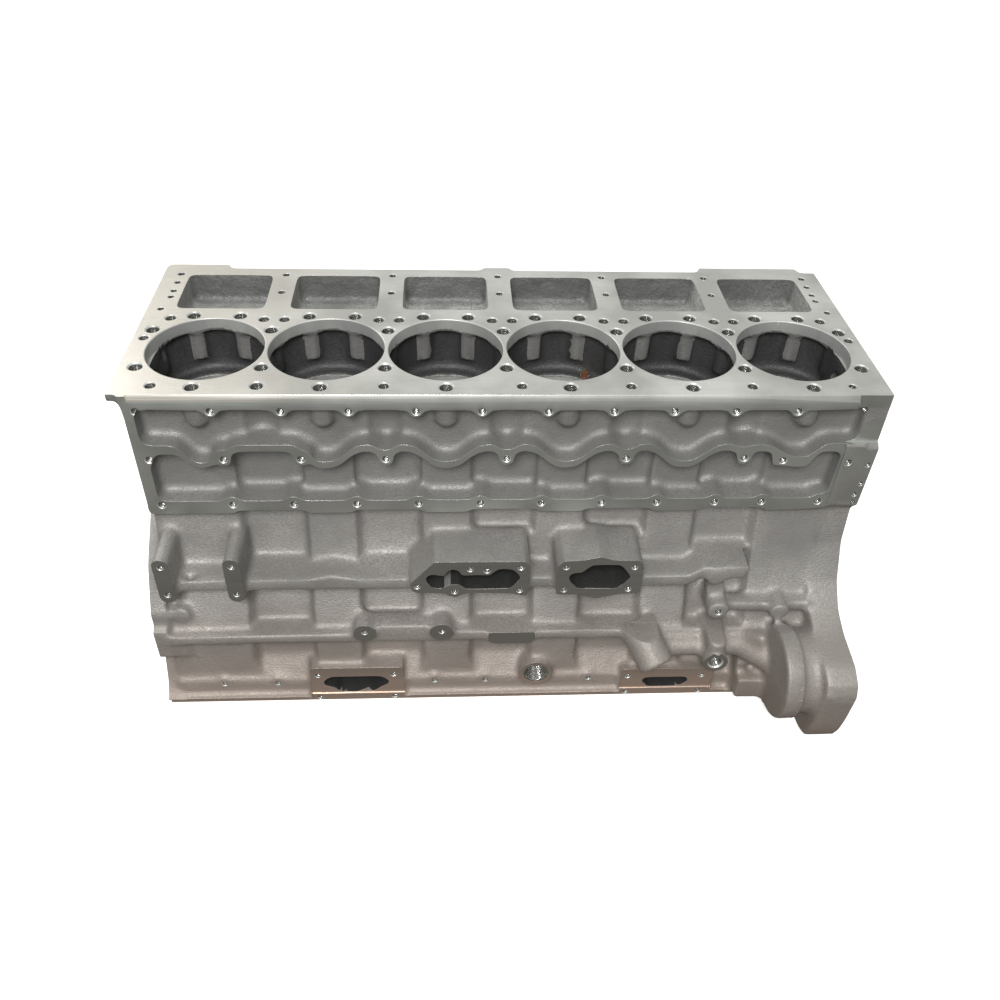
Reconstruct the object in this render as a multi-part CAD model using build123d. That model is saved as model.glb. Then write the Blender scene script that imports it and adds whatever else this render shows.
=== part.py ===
from build123d import *
import math
import os

# Bare cylinder block of a heavy in-line six-cylinder diesel engine, in millimetres.
# X runs along the crankshaft, Y from the manifold side to the back, Z up.
# The origin is at the middle of the oil pan rail. Depths are measured down from the deck.

# Cylinders and deck
CYLINDERS = 6
BORE_PITCH = 150.0
COLLAR_BORE_R = 72.5
COLLAR_BORE_DEPTH = 20.0
LINER_SEAT_R = 67.0
LINER_SEAT_DEPTH = 82.0
JACKET_R = 84.0
JACKET_END_WALL = 10.0
HOUSING_DEPTH = 61.0
BLOCK_HEIGHT = 490.0
DECK_END_OVERHANG = 20.0
DECK_LIP_THICKNESS = 12.0
DECK_FRONT_Y = -104.0
BACK_Y = 214.0
BACK_PAD_RISE = 11.0
BACK_PAD_DEPTH = 60.0
CHAMFER_DEPTH = 8.0

# Walls and ends
WALL = 11.0
MANIFOLD_FACE_Y = -108.0
MANIFOLD_FACE_DEPTH = 177.0
SKIRT_TOP_Y = -98.0
SKIRT_TOP_DEPTH = 188.0
SKIRT_WAIST_Y = -130.0
SKIRT_WAIST_HEIGHT = 180.0
SKIRT_FOOT_Y = -156.0
SKIRT_FOOT_HEIGHT = 105.0
BACK_SKIRT_Y = 165.0
BACK_KNEE_HEIGHT = 228.0
BACK_FOOT_HEIGHT = 118.0
BACK_RAIL_HEIGHT = 40.0
END_FACE_INSET = 16.0
RIGHT_FLANGE_THICKNESS = 42.0
FLANGE_TOP_DEPTH = 214.0

# Recesses in the skirt, one in front of each inner bulkhead
RECESS_WIDTH = 74.0
RECESS_SIDE_LEAN = 8.0
RECESS_DEPTH = 17.0
RECESS_RAMP_TOP_HEIGHT = 72.0
RECESS_RAMP_FOOT_HEIGHT = 44.0

# Manifold face passages
PASSAGE_DEPTH = 24.0
PASSAGE_STEP = 12.0
PASSAGE_STEP_WIDTH = 86.0
PASSAGE_WALL = 6.0
PASSAGE_TOP_DEPTH = 19.5
PASSAGE_END_LAND = 28.0
PASSAGE_CORNER_R = 11.0
CHANNEL_R = 26.0
SLOT_LENGTH = 24.0
SLOT_HEIGHT = 7.0
SLOT_DEPTH = 14.0
RIB_CREST_DEPTH = 71.0
RIB_DIP_DEPTH = 79.5
RIB_TROUGH_DEPTH = 98.0
RIB_CREST_OFFSET = 22.0
RIB_THICKNESS = 10.5
LOWER_PASSAGE_FOOT_DEPTH = 160.5
LOWER_PASSAGE_CORNER_R = 9.0
FACE_HOLE_R = 4.5
FACE_HOLE_DEPTH = 14.0
FACE_TOP_ROW_DEPTH = 22.0
FACE_MIDDLE_ROW_DEPTH = 94.0
FACE_BOTTOM_ROW_DEPTH = 167.5
FACE_TOP_BOSS_R = 8.0
FACE_MIDDLE_BOSS_WIDTH = 19.0
FACE_SHOULDER_BOSS_R = 15.0
FACE_BOTTOM_BOSS_R = 13.5
FACE_TOP_HOLES = (-439, -353, -271, -191, -111, -32, 48, 128, 202, 278, 355, 439)
FACE_MIDDLE_HOLES = (-437, -348, -254, -150, 0, 151, 302)
FACE_BOTTOM_HOLES = (-436, -347, -270, -190, -111, -31, 48, 127, 200, 277, 340, 416)
FACE_END_HOLES = ((353, 98), (437, 99))
FLANGE_FRONT_HOLES = ((464, 103), (464, 135), (461, 154), (463, 168))
FLANGE_FRONT_HOLE_R = 3.4
NOTCH_DEPTH = 67.0
NOTCH_R = 8.0
NOTCH_LENGTH = 19.0

# Deck holes
HEAD_BOLT_R = 8.0
HEAD_BOLT_HOLE_DEPTH = 48.0
HEAD_BOLT_CIRCLE_R = 87.0
HEAD_BOLT_COLUMN_R = 10.5
HEAD_BOLT_COLUMN_DEPTH = 62.0
HEAD_BOLT_BACK_Y = 80.0
HEAD_BOLT_BACK_HALF = 30.0
FRONT_COLUMN_R = 14.0
FRONT_COLUMN_DEPTH = 48.0
FRONT_COLUMN_TAPER = 10.0
WATER_HOLE_R = 6.5
COVER_SCREW_R = 4.5
COVER_SCREW_DEPTH = 18.0
WATER_HOLE_DEPTH = 22.0
FRONT_SCREW_Y = -84.5
FRONT_SCREW_DEPTH = 13.0
FRONT_SCREWS = (
    (-423, 6.0), (-299.5, 7.5), (-149.5, 6.0), (16.5, 6.0), (149.5, 6.0), (299.5, 6.0), (424.5, 4.5),
)
BACK_SCREW_Y = 196.0
END_SCREWS = ((446, 171), (446, 147), (446, 130), (452, 97))
END_SCREW_R = 4.0
CORNER_SCREW = (456.5, 23)

# Openings behind the bores
WINDOW_WIDTH = 116.0
WINDOW_FRONT_Y = 98.5
WINDOW_BACK_Y = 193.0
WINDOW_DEPTH = 40.0
WINDOW_CORNER_R = 4.0
PUSHROD_HOLE_R = 13.0
PUSHROD_SPACING = 52.0

# Crankcase
CRANK_AXIS_Z = 98.0
MAIN_BORE_R = 56.0
BULKHEAD_THICKNESS = 34.0
CAP_WIDTH = 170.0
CAP_FOOT_Z = 14.0
CAP_SHOULDER_Z = 44.0
CAP_SHOULDER_WIDTH = 30.0
CAP_FOOT_WIDTH = 90.0
CAP_BOLT_SPACING = 141.0
CAP_BOLT_R = 8.7
CAP_BOLT_HEAD_R = 13.5
CAP_BOLT_HEAD_HEIGHT = 14.0
CAP_BOLT_REACH = 70.0
BOLT_CLEARANCE = 0.3
CRANKCASE_TOP_HEIGHT = 250.0
RAIL_HOLE_R = 5.0
RAIL_HOLE_DEPTH = 14.0
RAIL_HOLE_PITCH = 75.0
RAIL_HOLE_Y = 154.0
RAIL_END_MARGIN = 40.0

# Camshaft tunnel
CAM_AXIS_Y = 150.0
CAM_AXIS_HEIGHT = 258.0
CAM_BORE_R = 30.0
CAM_BUSHING_WALL = 3.0
CAM_BUSHING_LENGTH = 28.0
PRESS_CLEARANCE = 0.05

# Ribs and rails on the front of the skirt
UPPER_RIB_Y = -149.0
UPPER_RIB_DEPTH = 264.0
UPPER_RIB_HEIGHT = 19.0
UPPER_RIB_STEP = 15.0
LOWER_RIB_Y = -165.0
LOWER_RIB_TOP = 138.0
LOWER_RIB_HEIGHT = 17.0
LOWER_RIB_STEP = 13.0
RAIL_Y = -165.0
RAIL_TOP_HEIGHT = 40.0
RAIL_LIP_Y = -169.0
RAIL_LIP_HEIGHT = 14.0
SIDE_HOLE_HEIGHT = 34.0
SIDE_HOLE_BOSS_R = 11.0
SIDE_HOLES_X = (-391, -316, -93, -20, 130)
RIB_BOSSES_X = (-187, -82)

# Housings, covers' seats and bosses on the front
COVER_FACE_Y = -165.0
COVER_HOLE_R = 3.6
COVER_HOLE_DEPTH = 14.0
LOW_SEAT_Y = -168.0
LOW_SEAT_A = (-268, -137, 69)
LOW_SEAT_B = (177, 310, 56)
LOW_SEAT_HOLE_INSET = 10.0
HOUSING_A = (
    (-123, 256), (-91, 217), (26, 217), (33, 224), (32, 283), (12, 276), (-50, 274),
    (-65, 283), (-80, 274), (-114, 274), (-122, 268),
)
HOUSING_A_MOUTH = (
    (-104, 248), (-97, 238), (-79, 243), (-72, 230), (-61, 230), (-55, 242), (-34, 241), (-19, 242),
    (-9, 230), (11, 231), (23, 247), (8, 267), (-50, 267), (-58, 258), (-71, 258), (-80, 266), (-96, 264),
)
HOUSING_A_HOLES = ((-114, 262), (-65, 272), (21, 271), (21, 229), (-45, 231), (-23, 234))
HOUSING_B = (
    (68, 228), (77, 217), (103, 216), (123, 210), (143, 217), (174, 217), (182, 226), (183, 279),
    (154, 279), (125, 288), (97, 279), (70, 279),
)
HOUSING_B_MOUTH = (
    (83, 248), (89, 239), (101, 239), (114, 225), (152, 225), (168, 248), (151, 269), (96, 268),
)
HOUSING_B_HOLES = ((80, 229), (170, 230), (80, 271), (166, 271))
DRAIN_BOSS_X = 52.0
DRAIN_BOSS_HEIGHT = 53.0
DRAIN_BOSS_R = 23.5
DRAIN_HOLE_R = 16.0
DRAIN_HOLE_DEPTH = 30.0
BRACKET_PAD_Y = -165.0
BRACKET_PADS_X = (-436, -348)
BRACKET_PAD_WIDTH = 21.0
BRACKET_PAD_TOP_DEPTH = 209.0
BRACKET_PAD_HEIGHT = 77.0
BRACKET_HOLE_SPACING = 50.0
RIB_BOSS_R = 14.5
RIB_BOSS_Y = -168.0

# Hook, knob and pocket at the left end of the ribs
HOOK_Y = -160.0
HOOK_HEIGHT = 52.0
HOOK_LIP_LENGTH = 24.0
HOOK_LIP_THICKNESS = 18.0
KNOB_X = -432.0
KNOB_HEIGHT = 161.0
KNOB_R = 11.0
KNOB_Y = -150.0
RIB_POCKET = (-420, -402, -145, -131)
RIB_POCKET_DEPTH = 8.0

# Coolant plumbing and pump housing at the right
PIPE_R = 17.0
PIPE_Y = -162.0
PIPE_HEIGHT = 104.0
PIPE_START_X = 205.0
PIPE_BEND_X = 338.0
STUB_R = 25.0
STUB_BORE_R = 17.0
STUB_ROOT = (188, -150, 138)
STUB_MOUTH = (216, -196, 98)
PUMP_X = 378.0
PUMP_Y = -202.0
PUMP_HEIGHT = 92.0
PUMP_R = 66.0
PUMP_RING_R = 58.0
PUMP_COLLAR_LENGTH = 24.0
BRACKET_Y = -195.0
BRACKET_WALL_Y = -176.0
BRACKET_POCKET = (361, 66)
BRACKET_POCKET_R = 8.0
PUMP_BOSS_X = 298.0
PUMP_BOSS_Y = -198.0
PUMP_BOSS_R = 17.5
PUMP_BOSS_HOLE_R = 9.0
PUMP_BOSS_HOLE_DEPTH = 20.0

# Small parts
CORE_PLUG_R = 19.0
CORE_PLUG_THICKNESS = 8.0
CORE_PLUG_WALL = 2.0
CORE_PLUG_DEPTH = 58.0
GALLERY_Y = 178.0
GALLERY_HEIGHT = 142.0
GALLERY_R = 20.0
GALLERY_BOSS_R = 15.0
GALLERY_PLUG_FACE_Y = 206.0
GALLERY_PLUG_R = 9.0
GALLERY_PLUG_LENGTH = 12.0
DOWEL_R = 6.0
DOWEL_LENGTH = 24.0
DOWEL_PLACES = ((-120, 95), (140, 95))
MOUNT_PAD_Y = 224.0
MOUNT_PADS_X = (-225, 225)
MOUNT_PAD_WIDTH = 90.0
MOUNT_PAD_TOP_DEPTH = 150.0
MOUNT_PAD_FOOT_DEPTH = 230.0
JACKET_PLUG_R = 5.0
JACKET_PLUG_LENGTH = 12.0
JACKET_PLUG_ANGLE = 56.0

# Worked out from the sizes above
HALF_DECK = CYLINDERS * BORE_PITCH / 2 + DECK_END_OVERHANG
LEFT_FACE_X = -HALF_DECK + END_FACE_INSET
RIGHT_FACE_X = HALF_DECK
RIGHT_FLANGE_X = RIGHT_FACE_X - RIGHT_FLANGE_THICKNESS
BORE_CENTRES = [(i - (CYLINDERS - 1) / 2) * BORE_PITCH for i in range(CYLINDERS)]
BULKHEADS = [(i - CYLINDERS / 2) * BORE_PITCH for i in range(CYLINDERS + 1)]
INNER_BULKHEADS = BULKHEADS[1:-1]
BOLT_SIDE_Y = math.sqrt(HEAD_BOLT_CIRCLE_R ** 2 - (BORE_PITCH / 2) ** 2)
PASSAGE_END_X = HALF_DECK - PASSAGE_END_LAND
PASSAGE_FLOOR_Y = MANIFOLD_FACE_Y + PASSAGE_DEPTH


def height(depth):
    """Height above the pan rail of a point that lies a given depth below the deck."""
    return BLOCK_HEIGHT - depth


def depth_at(z):
    """Depth below the deck of a point that lies a given height above the pan rail."""
    return BLOCK_HEIGHT - z


def slab(x0, x1, y0, y1, z0, z1):
    """Box between two corners."""
    return Pos((x0 + x1) / 2, (y0 + y1) / 2, (z0 + z1) / 2) * Box(x1 - x0, y1 - y0, z1 - z0)


def rod(axis, centre, radius, start, end):
    """Round bar along X, Y or Z; centre holds its other two coordinates."""
    a, b = centre
    middle = (start + end) / 2
    place = {"X": (middle, a, b), "Y": (a, middle, b), "Z": (a, b, middle)}[axis]
    turn = {"X": Rot(0, 90, 0), "Y": Rot(90, 0, 0), "Z": Rot(0, 0, 0)}[axis]
    return Pos(*place) * turn * Cylinder(radius, abs(end - start))


def front_prism(outline, y0, y1, corner=0.0):
    """Prism along Y from an outline of (x, depth) points."""
    points = [(x, y0, height(depth)) for x, depth in outline]
    if corner > 0:
        wire = FilletPolyline(*points, radius=corner, close=True)
    else:
        wire = Polyline(*points, close=True)
    return extrude(make_face(wire), amount=abs(y1 - y0), dir=(0, math.copysign(1, y1 - y0), 0))


def end_prism(outline, x0, x1):
    """Prism along X from an outline of (y, depth) points."""
    points = [(x0, y, height(depth)) for y, depth in outline]
    return extrude(make_face(Polyline(*points, close=True)), amount=x1 - x0, dir=(1, 0, 0))


def obround(x, top_depth, bottom_depth, width, y0, y1):
    """Upright bar with round ends, along Y."""
    r = width / 2
    top = height(top_depth) - r
    bottom = height(bottom_depth) + r
    return (
        rod("Y", (x, top), r, y0, y1)
        + rod("Y", (x, bottom), r, y0, y1)
        + slab(x - r, x + r, y0, y1, bottom, top)
    )


def skirt_front(x, inset):
    """Curve of the front skirt wall in the plane at x, set in by a distance."""
    points = [
        (x, SKIRT_TOP_Y + inset, height(SKIRT_TOP_DEPTH)),
        (x, SKIRT_WAIST_Y + inset, SKIRT_WAIST_HEIGHT),
        (x, SKIRT_FOOT_Y + inset, SKIRT_FOOT_HEIGHT),
    ]
    return Spline(*points, tangents=[(0, -0.12, -1), (0, -0.08, -1)])


def body_section(x):
    """Outer section of the block across the crankshaft, from rail to deck."""
    wall = skirt_front(x, 0)
    rest = Polyline(
        (x, SKIRT_FOOT_Y, SKIRT_FOOT_HEIGHT),
        (x, SKIRT_FOOT_Y - 3, 0),
        (x, BACK_SKIRT_Y, 0),
        (x, BACK_SKIRT_Y, BACK_FOOT_HEIGHT),
        (x, BACK_Y, BACK_KNEE_HEIGHT),
        (x, BACK_Y, BLOCK_HEIGHT),
        (x, MANIFOLD_FACE_Y, BLOCK_HEIGHT),
        (x, MANIFOLD_FACE_Y, height(MANIFOLD_FACE_DEPTH)),
        (x, SKIRT_TOP_Y, height(SKIRT_TOP_DEPTH)),
    )
    return make_face([wall, rest])


def recess(x):
    """Cutter for one recess of the skirt: its sides lean outwards and its foot ramps out."""
    wall = skirt_front(x, RECESS_DEPTH)
    floor = [(SKIRT_TOP_Y + RECESS_DEPTH, height(MANIFOLD_FACE_DEPTH))]
    floor += [((wall @ (step / 4)).Y, (wall @ (step / 4)).Z) for step in range(5)]
    floor.append((SKIRT_FOOT_Y + RECESS_DEPTH, RECESS_RAMP_TOP_HEIGHT))
    floor.append((SKIRT_FOOT_Y - 4, RECESS_RAMP_FOOT_HEIGHT))
    reach = 2 * RECESS_DEPTH
    narrow = RECESS_WIDTH / 2
    wide = narrow + RECESS_SIDE_LEAN * reach / RECESS_DEPTH
    sections = []
    for y, z in floor:
        corners = [(x - narrow, y, z), (x + narrow, y, z)]
        corners += [(x + wide, y - reach, z), (x - wide, y - reach, z)]
        sections.append(make_face(Polyline(*corners, close=True)))
    return loft(sections, ruled=True)


def left_flange():
    """Housing flange at the left end; it widens downwards along the skirt."""
    outline = [
        (-62, FLANGE_TOP_DEPTH), (-118, 262), (-154, depth_at(167)), (-153, depth_at(145)),
        (-147, depth_at(75)), (-158, depth_at(41)), (RAIL_LIP_Y, depth_at(RAIL_LIP_HEIGHT)),
        (RAIL_LIP_Y, BLOCK_HEIGHT), (BACK_SKIRT_Y, BLOCK_HEIGHT),
        (BACK_SKIRT_Y + 12, depth_at(BACK_FOOT_HEIGHT)), (BACK_Y + 6, depth_at(BACK_KNEE_HEIGHT)),
        (BACK_Y - 30, FLANGE_TOP_DEPTH - 30), (60, FLANGE_TOP_DEPTH - 30),
    ]
    return end_prism(outline, -HALF_DECK, LEFT_FACE_X + 4)


def right_flange():
    """Thick flange at the right end; it swells forwards round the pump housing."""
    outline = [
        (DECK_FRONT_Y + 1, 0), (-105, 68), (-113, 71), (-110, 172), (-97, 187), (-104, 243),
        (-129, depth_at(193)), (-158, depth_at(165)), (-190, depth_at(153)), (-243, depth_at(146)),
        (-264, depth_at(134)), (-272, depth_at(118)), (-268, depth_at(65)), (-263, depth_at(34)),
        (-254, depth_at(11)), (-236, depth_at(2)), (RAIL_LIP_Y, BLOCK_HEIGHT), (BACK_SKIRT_Y, BLOCK_HEIGHT),
        (BACK_SKIRT_Y + 12, depth_at(BACK_FOOT_HEIGHT)), (BACK_Y, depth_at(BACK_KNEE_HEIGHT)), (BACK_Y, 0),
    ]
    return end_prism(outline, RIGHT_FLANGE_X, RIGHT_FACE_X)


def deck_slab():
    """Top of the casting, with the lip over the left end and the pads at the back."""
    lip = slab(
        -HALF_DECK, HALF_DECK, DECK_FRONT_Y, BACK_Y,
        height(DECK_LIP_THICKNESS), BLOCK_HEIGHT,
    )
    foot = height(BACK_PAD_DEPTH)
    pads = [
        slab(-HALF_DECK + 3, -383, BACK_Y - 5, BACK_Y + BACK_PAD_RISE, foot, BLOCK_HEIGHT),
        slab(-20, 18, BACK_Y - 5, BACK_Y + BACK_PAD_RISE - 3, foot, BLOCK_HEIGHT),
        slab(298, 446, BACK_Y - 5, BACK_Y + BACK_PAD_RISE + 2, foot, BLOCK_HEIGHT),
    ]
    return [lip] + pads


def upper_rib():
    """Upper horizontal rib, broken by the housings and stepped up at its right end."""
    top = UPPER_RIB_DEPTH
    foot = top + UPPER_RIB_HEIGHT
    raised = top - UPPER_RIB_STEP
    left = [
        (LEFT_FACE_X, top), (-262, top + 1), (-226, top - 7), (-190, top + 1),
        (-115, top), (-115, foot), (LEFT_FACE_X, foot),
    ]
    middle = [(30, top), (72, top), (72, foot), (30, foot)]
    right = [
        (178, top), (249, top), (271, raised), (333, raised), (327, raised + UPPER_RIB_HEIGHT + 3),
        (312, raised + UPPER_RIB_HEIGHT + 3), (271, raised + UPPER_RIB_HEIGHT), (249, foot), (178, foot),
    ]
    inside = SKIRT_TOP_Y
    return [front_prism(outline, UPPER_RIB_Y, inside) for outline in (left, middle, right)]


def lower_rib():
    """Lower horizontal rib with its raised middle, two bosses and a machined pad."""
    top = LOWER_RIB_TOP
    foot = top - LOWER_RIB_HEIGHT
    raised = top + LOWER_RIB_STEP
    heights = [
        (LEFT_FACE_X, top - 5), (-254, top - 3), (-200, top - 2), (-187, raised), (-73, raised),
        (-60, top), (219, top - 2), (219, foot), (LEFT_FACE_X, foot - 3),
    ]
    pad = [(-16, top), (44, top), (44, foot - 1), (38, foot - 6), (-10, foot - 6), (-16, foot - 1)]
    inside = SKIRT_FOOT_Y + RECESS_DEPTH
    parts = [
        front_prism([(x, depth_at(z)) for x, z in heights], LOWER_RIB_Y, inside),
        front_prism([(x, depth_at(z)) for x, z in pad], LOWER_RIB_Y - 1.5, inside),
    ]
    return parts + [rod("Y", (x, top + 5), RIB_BOSS_R, RIB_BOSS_Y, inside) for x in RIB_BOSSES_X]


def pan_rail():
    """Machined rail along the foot of the front, with the bosses of its side holes."""
    end = PUMP_X
    side = slab(LEFT_FACE_X, end, RAIL_Y, SKIRT_FOOT_Y + 10, 0, RAIL_TOP_HEIGHT)
    lip = slab(LEFT_FACE_X, end, RAIL_LIP_Y, SKIRT_FOOT_Y + 10, 0, RAIL_LIP_HEIGHT)
    bosses = [
        rod("Y", (x, SIDE_HOLE_HEIGHT), SIDE_HOLE_BOSS_R, RAIL_Y, SKIRT_FOOT_Y + RECESS_DEPTH)
        for x in SIDE_HOLES_X
    ]
    back = slab(LEFT_FACE_X, RIGHT_FLANGE_X, BACK_SKIRT_Y - 10, BACK_SKIRT_Y + 4, 0, BACK_RAIL_HEIGHT)
    return [side, lip, back] + bosses


def low_seat(x0, x1, top):
    """Block of metal that carries a low cover's machined seat, up to a height."""
    return slab(x0, x1, LOW_SEAT_Y, SKIRT_FOOT_Y + RECESS_DEPTH, 0.0, top)


def low_mouth(x0, x1, top):
    """Cored mouth of a low cover's seat, waisted at its lower corners."""
    w = x1 - x0
    heights = [
        (x0 + 0.08 * w, 34), (x0 + 0.21 * w, top - 19), (x0 + 0.76 * w, top - 19), (x0 + 0.89 * w, 35),
        (x0 + 0.76 * w, 28), (x0 + 0.67 * w, 17), (x0 + 0.31 * w, 16), (x0 + 0.25 * w, 26),
    ]
    return front_prism([(x, depth_at(z)) for x, z in heights], LOW_SEAT_Y - 2, SKIRT_FOOT_Y + 45)


def low_seat_holes(x0, x1, top):
    """Four screw holes at the corners of a low cover's seat."""
    left = x0 + LOW_SEAT_HOLE_INSET
    right = x1 - LOW_SEAT_HOLE_INSET - 4
    spots = [(x, z) for x in (left, right) for z in (top - 16, 6)]
    return [blind_y(x, depth_at(z), COVER_HOLE_R, LOW_SEAT_Y, COVER_HOLE_DEPTH) for x, z in spots]


def blind_y(x, depth, radius, face_y, hole_depth):
    """Blind hole drilled backwards from a vertical face."""
    return rod("Y", (x, height(depth)), radius, face_y - 1, face_y + hole_depth)


def blind_z(x, y, radius, hole_depth):
    """Blind hole drilled down from the deck."""
    return rod("Z", (x, y), radius, BLOCK_HEIGHT - hole_depth, BLOCK_HEIGHT + 1)


def bracket_pads():
    """Two upright pads with round ends on long half-round stems, at the left."""
    top = BRACKET_PAD_TOP_DEPTH
    foot = top + BRACKET_PAD_HEIGHT
    return [
        obround(x, top, foot, BRACKET_PAD_WIDTH, BRACKET_PAD_Y, SKIRT_TOP_Y + 8) for x in BRACKET_PADS_X
    ]


def plumbing():
    """Bosses, coolant pipe and oblique stub cast on at the right."""
    inside = SKIRT_FOOT_Y + RECESS_DEPTH
    root = Vector(*STUB_ROOT)
    along = Vector(*STUB_MOUTH) - root
    stub = Plane(origin=root, z_dir=along) * Pos(0, 0, along.length / 2) * Cylinder(STUB_R, along.length)
    bend = Plane(origin=(PIPE_BEND_X, PIPE_Y, PIPE_HEIGHT), z_dir=(1, -0.35, -0.45))
    bent = bend * Pos(0, 0, 26) * Cylinder(PIPE_R, 52)
    web_top = PIPE_HEIGHT + 34
    web_y = PIPE_Y - 22
    return [
        rod("Y", (297, height(318)), 15, BRACKET_PAD_Y - 1, SKIRT_TOP_Y - 8),
        rod("Y", (288, height(267)), 12, UPPER_RIB_Y - 3, SKIRT_TOP_Y),
        front_prism([(277, 262), (300, 262), (310, 318), (284, 318)], UPPER_RIB_Y + 4, SKIRT_WAIST_Y),
        slab(305, RIGHT_FLANGE_X, UPPER_RIB_Y - 3, SKIRT_WAIST_Y, height(332), height(316)),
        rod("Y", (384, height(322)), 13, COVER_FACE_Y, SKIRT_WAIST_Y),
        rod("X", (PIPE_Y, PIPE_HEIGHT), PIPE_R, PIPE_START_X, PIPE_BEND_X + 7),
        Pos(PIPE_BEND_X, PIPE_Y, PIPE_HEIGHT) * Sphere(PIPE_R + 0.7),
        slab(PIPE_START_X, PUMP_X, PIPE_Y + 4, inside, PIPE_HEIGHT - 14, PIPE_HEIGHT + 26),
        bent,
        stub,
        rod("Y", (PUMP_BOSS_X, PIPE_HEIGHT), PUMP_BOSS_R, PUMP_BOSS_Y, PIPE_Y),
        slab(PUMP_BOSS_X - 13, PUMP_BOSS_X + 13, web_y, inside, PIPE_HEIGHT, web_top),
        rod("Z", (PUMP_BOSS_X, web_y), 13, PIPE_HEIGHT, web_top),
    ]


def left_hook():
    """Hook where the lower rib meets the left flange, and the knob above it."""
    inside = SKIRT_FOOT_Y + RECESS_DEPTH
    bend = LEFT_FACE_X + 3
    top = LOWER_RIB_TOP + 5
    foot = top - HOOK_HEIGHT
    return [
        slab(-HALF_DECK, bend, HOOK_Y - 3, inside, foot, top),
        slab(bend - 1, bend + HOOK_LIP_LENGTH, HOOK_Y, inside, foot, foot + HOOK_LIP_THICKNESS),
        rod("Y", (KNOB_X, KNOB_HEIGHT), KNOB_R, KNOB_Y, SKIRT_WAIST_Y + 12),
    ]


def pump_housing():
    """Stepped drum of the coolant pump housing, along X, and the bracket beside it."""
    z = PUMP_HEIGHT
    collar_end = PUMP_X + PUMP_COLLAR_LENGTH
    start = PIPE_BEND_X + 2
    drum = rod("X", (PUMP_Y, z), PUMP_R, PUMP_X, collar_end)
    neck = rod("X", (PUMP_Y, z), PUMP_RING_R, collar_end - 1, RIGHT_FLANGE_X + 1)
    web = slab(PUMP_X + 6, RIGHT_FLANGE_X + 1, PUMP_Y, SKIRT_FOOT_Y + RECESS_DEPTH, 10, z + 40)
    bracket = slab(start, PUMP_X + 8, BRACKET_Y, SKIRT_FOOT_Y, 21, 59)
    wall = slab(start, PUMP_X + 7, BRACKET_WALL_Y, SKIRT_FOOT_Y, 22, 74)
    return [drum, neck, web, bracket, wall]


def back_ribs():
    """Stiffening ribs, gallery bulge and engine mount pads on the back."""
    knee = depth_at(BACK_KNEE_HEIGHT)
    foot = depth_at(BACK_FOOT_HEIGHT)
    outline = [
        (BACK_Y - 6, 75), (BACK_Y + 7, 90), (BACK_Y + 7, knee), (BACK_SKIRT_Y + 7, foot),
        (BACK_SKIRT_Y + 4, depth_at(BACK_RAIL_HEIGHT - 5)),
        (BACK_SKIRT_Y - 6, depth_at(BACK_RAIL_HEIGHT - 5)),
        (BACK_SKIRT_Y - 6, foot),
    ]
    parts = [rod("X", (GALLERY_Y, GALLERY_HEIGHT), GALLERY_R, LEFT_FACE_X, RIGHT_FLANGE_X + 1)]
    for x in INNER_BULKHEADS:
        parts.append(end_prism(outline, x - 8, x + 8))
        parts.append(rod("Y", (x, GALLERY_HEIGHT), GALLERY_BOSS_R, GALLERY_Y, GALLERY_PLUG_FACE_Y))
    half = MOUNT_PAD_WIDTH / 2
    for x in MOUNT_PADS_X:
        parts.append(slab(x - half, x + half, BACK_Y - 6, MOUNT_PAD_Y,
                          height(MOUNT_PAD_FOOT_DEPTH), height(MOUNT_PAD_TOP_DEPTH)))
    return parts


def outside_solid():
    """Whole outer form of the casting, before any hollow is cut."""
    section = body_section(LEFT_FACE_X)
    body = extrude(section, amount=RIGHT_FLANGE_X + 1 - LEFT_FACE_X, dir=(1, 0, 0))
    body = body - [recess(x) for x in INNER_BULKHEADS]
    groups = [
        [left_flange(), right_flange()],
        deck_slab(),
        upper_rib(),
        lower_rib(),
        pan_rail(),
        [front_prism(HOUSING_A, COVER_FACE_Y, SKIRT_TOP_Y)],
        [front_prism(HOUSING_B, COVER_FACE_Y, SKIRT_TOP_Y)],
        [low_seat(*LOW_SEAT_A), low_seat(*LOW_SEAT_B)],
        [drain_boss()],
        bracket_pads(),
        back_ribs(),
        left_hook(),
        pump_housing(),
    ]
    groups += [[part] for part in plumbing()]
    for group in groups:
        body = body + group
    return body


def drain_boss():
    """Large round boss above the pan rail."""
    place = (DRAIN_BOSS_X, DRAIN_BOSS_HEIGHT)
    return rod("Y", place, DRAIN_BOSS_R, RAIL_LIP_Y - 1, SKIRT_FOOT_Y + RECESS_DEPTH)


def on_face(x, depth):
    """Point just outside the manifold face."""
    return (x, MANIFOLD_FACE_Y - 2, height(depth))


def wave(points):
    """Smooth curves through crests and troughs given as (x, depth), level at each of them."""
    curves = []
    for (x0, d0), (x1, d1) in zip(points, points[1:]):
        half = (x1 - x0) / 2
        poles = [(x0, d0), (x0 + half, d0), (x1 - half, d1), (x1, d1)]
        curves.append(Bezier(*[on_face(*pole) for pole in poles]))
    return curves


def rib_middle(lower):
    """Crests and troughs of the waved rib between the end bulkheads, moved down by a distance."""
    first = BULKHEADS[1]
    crest = RIB_CREST_DEPTH + lower
    trough = RIB_TROUGH_DEPTH + lower
    points = [(first - RIB_CREST_OFFSET, crest), (first + 32, crest), (BORE_CENTRES[1], trough)]
    for x in BULKHEADS[2:-2]:
        points += [(x - RIB_CREST_OFFSET, crest), (x, RIB_DIP_DEPTH + lower), (x + RIB_CREST_OFFSET, crest)]
        points.append((x + BORE_PITCH / 2, trough))
    last = BULKHEADS[-2]
    return points + [(last - RIB_CREST_OFFSET, crest), (last - 2, crest + 5), (last + 18, crest + 1)]


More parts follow.
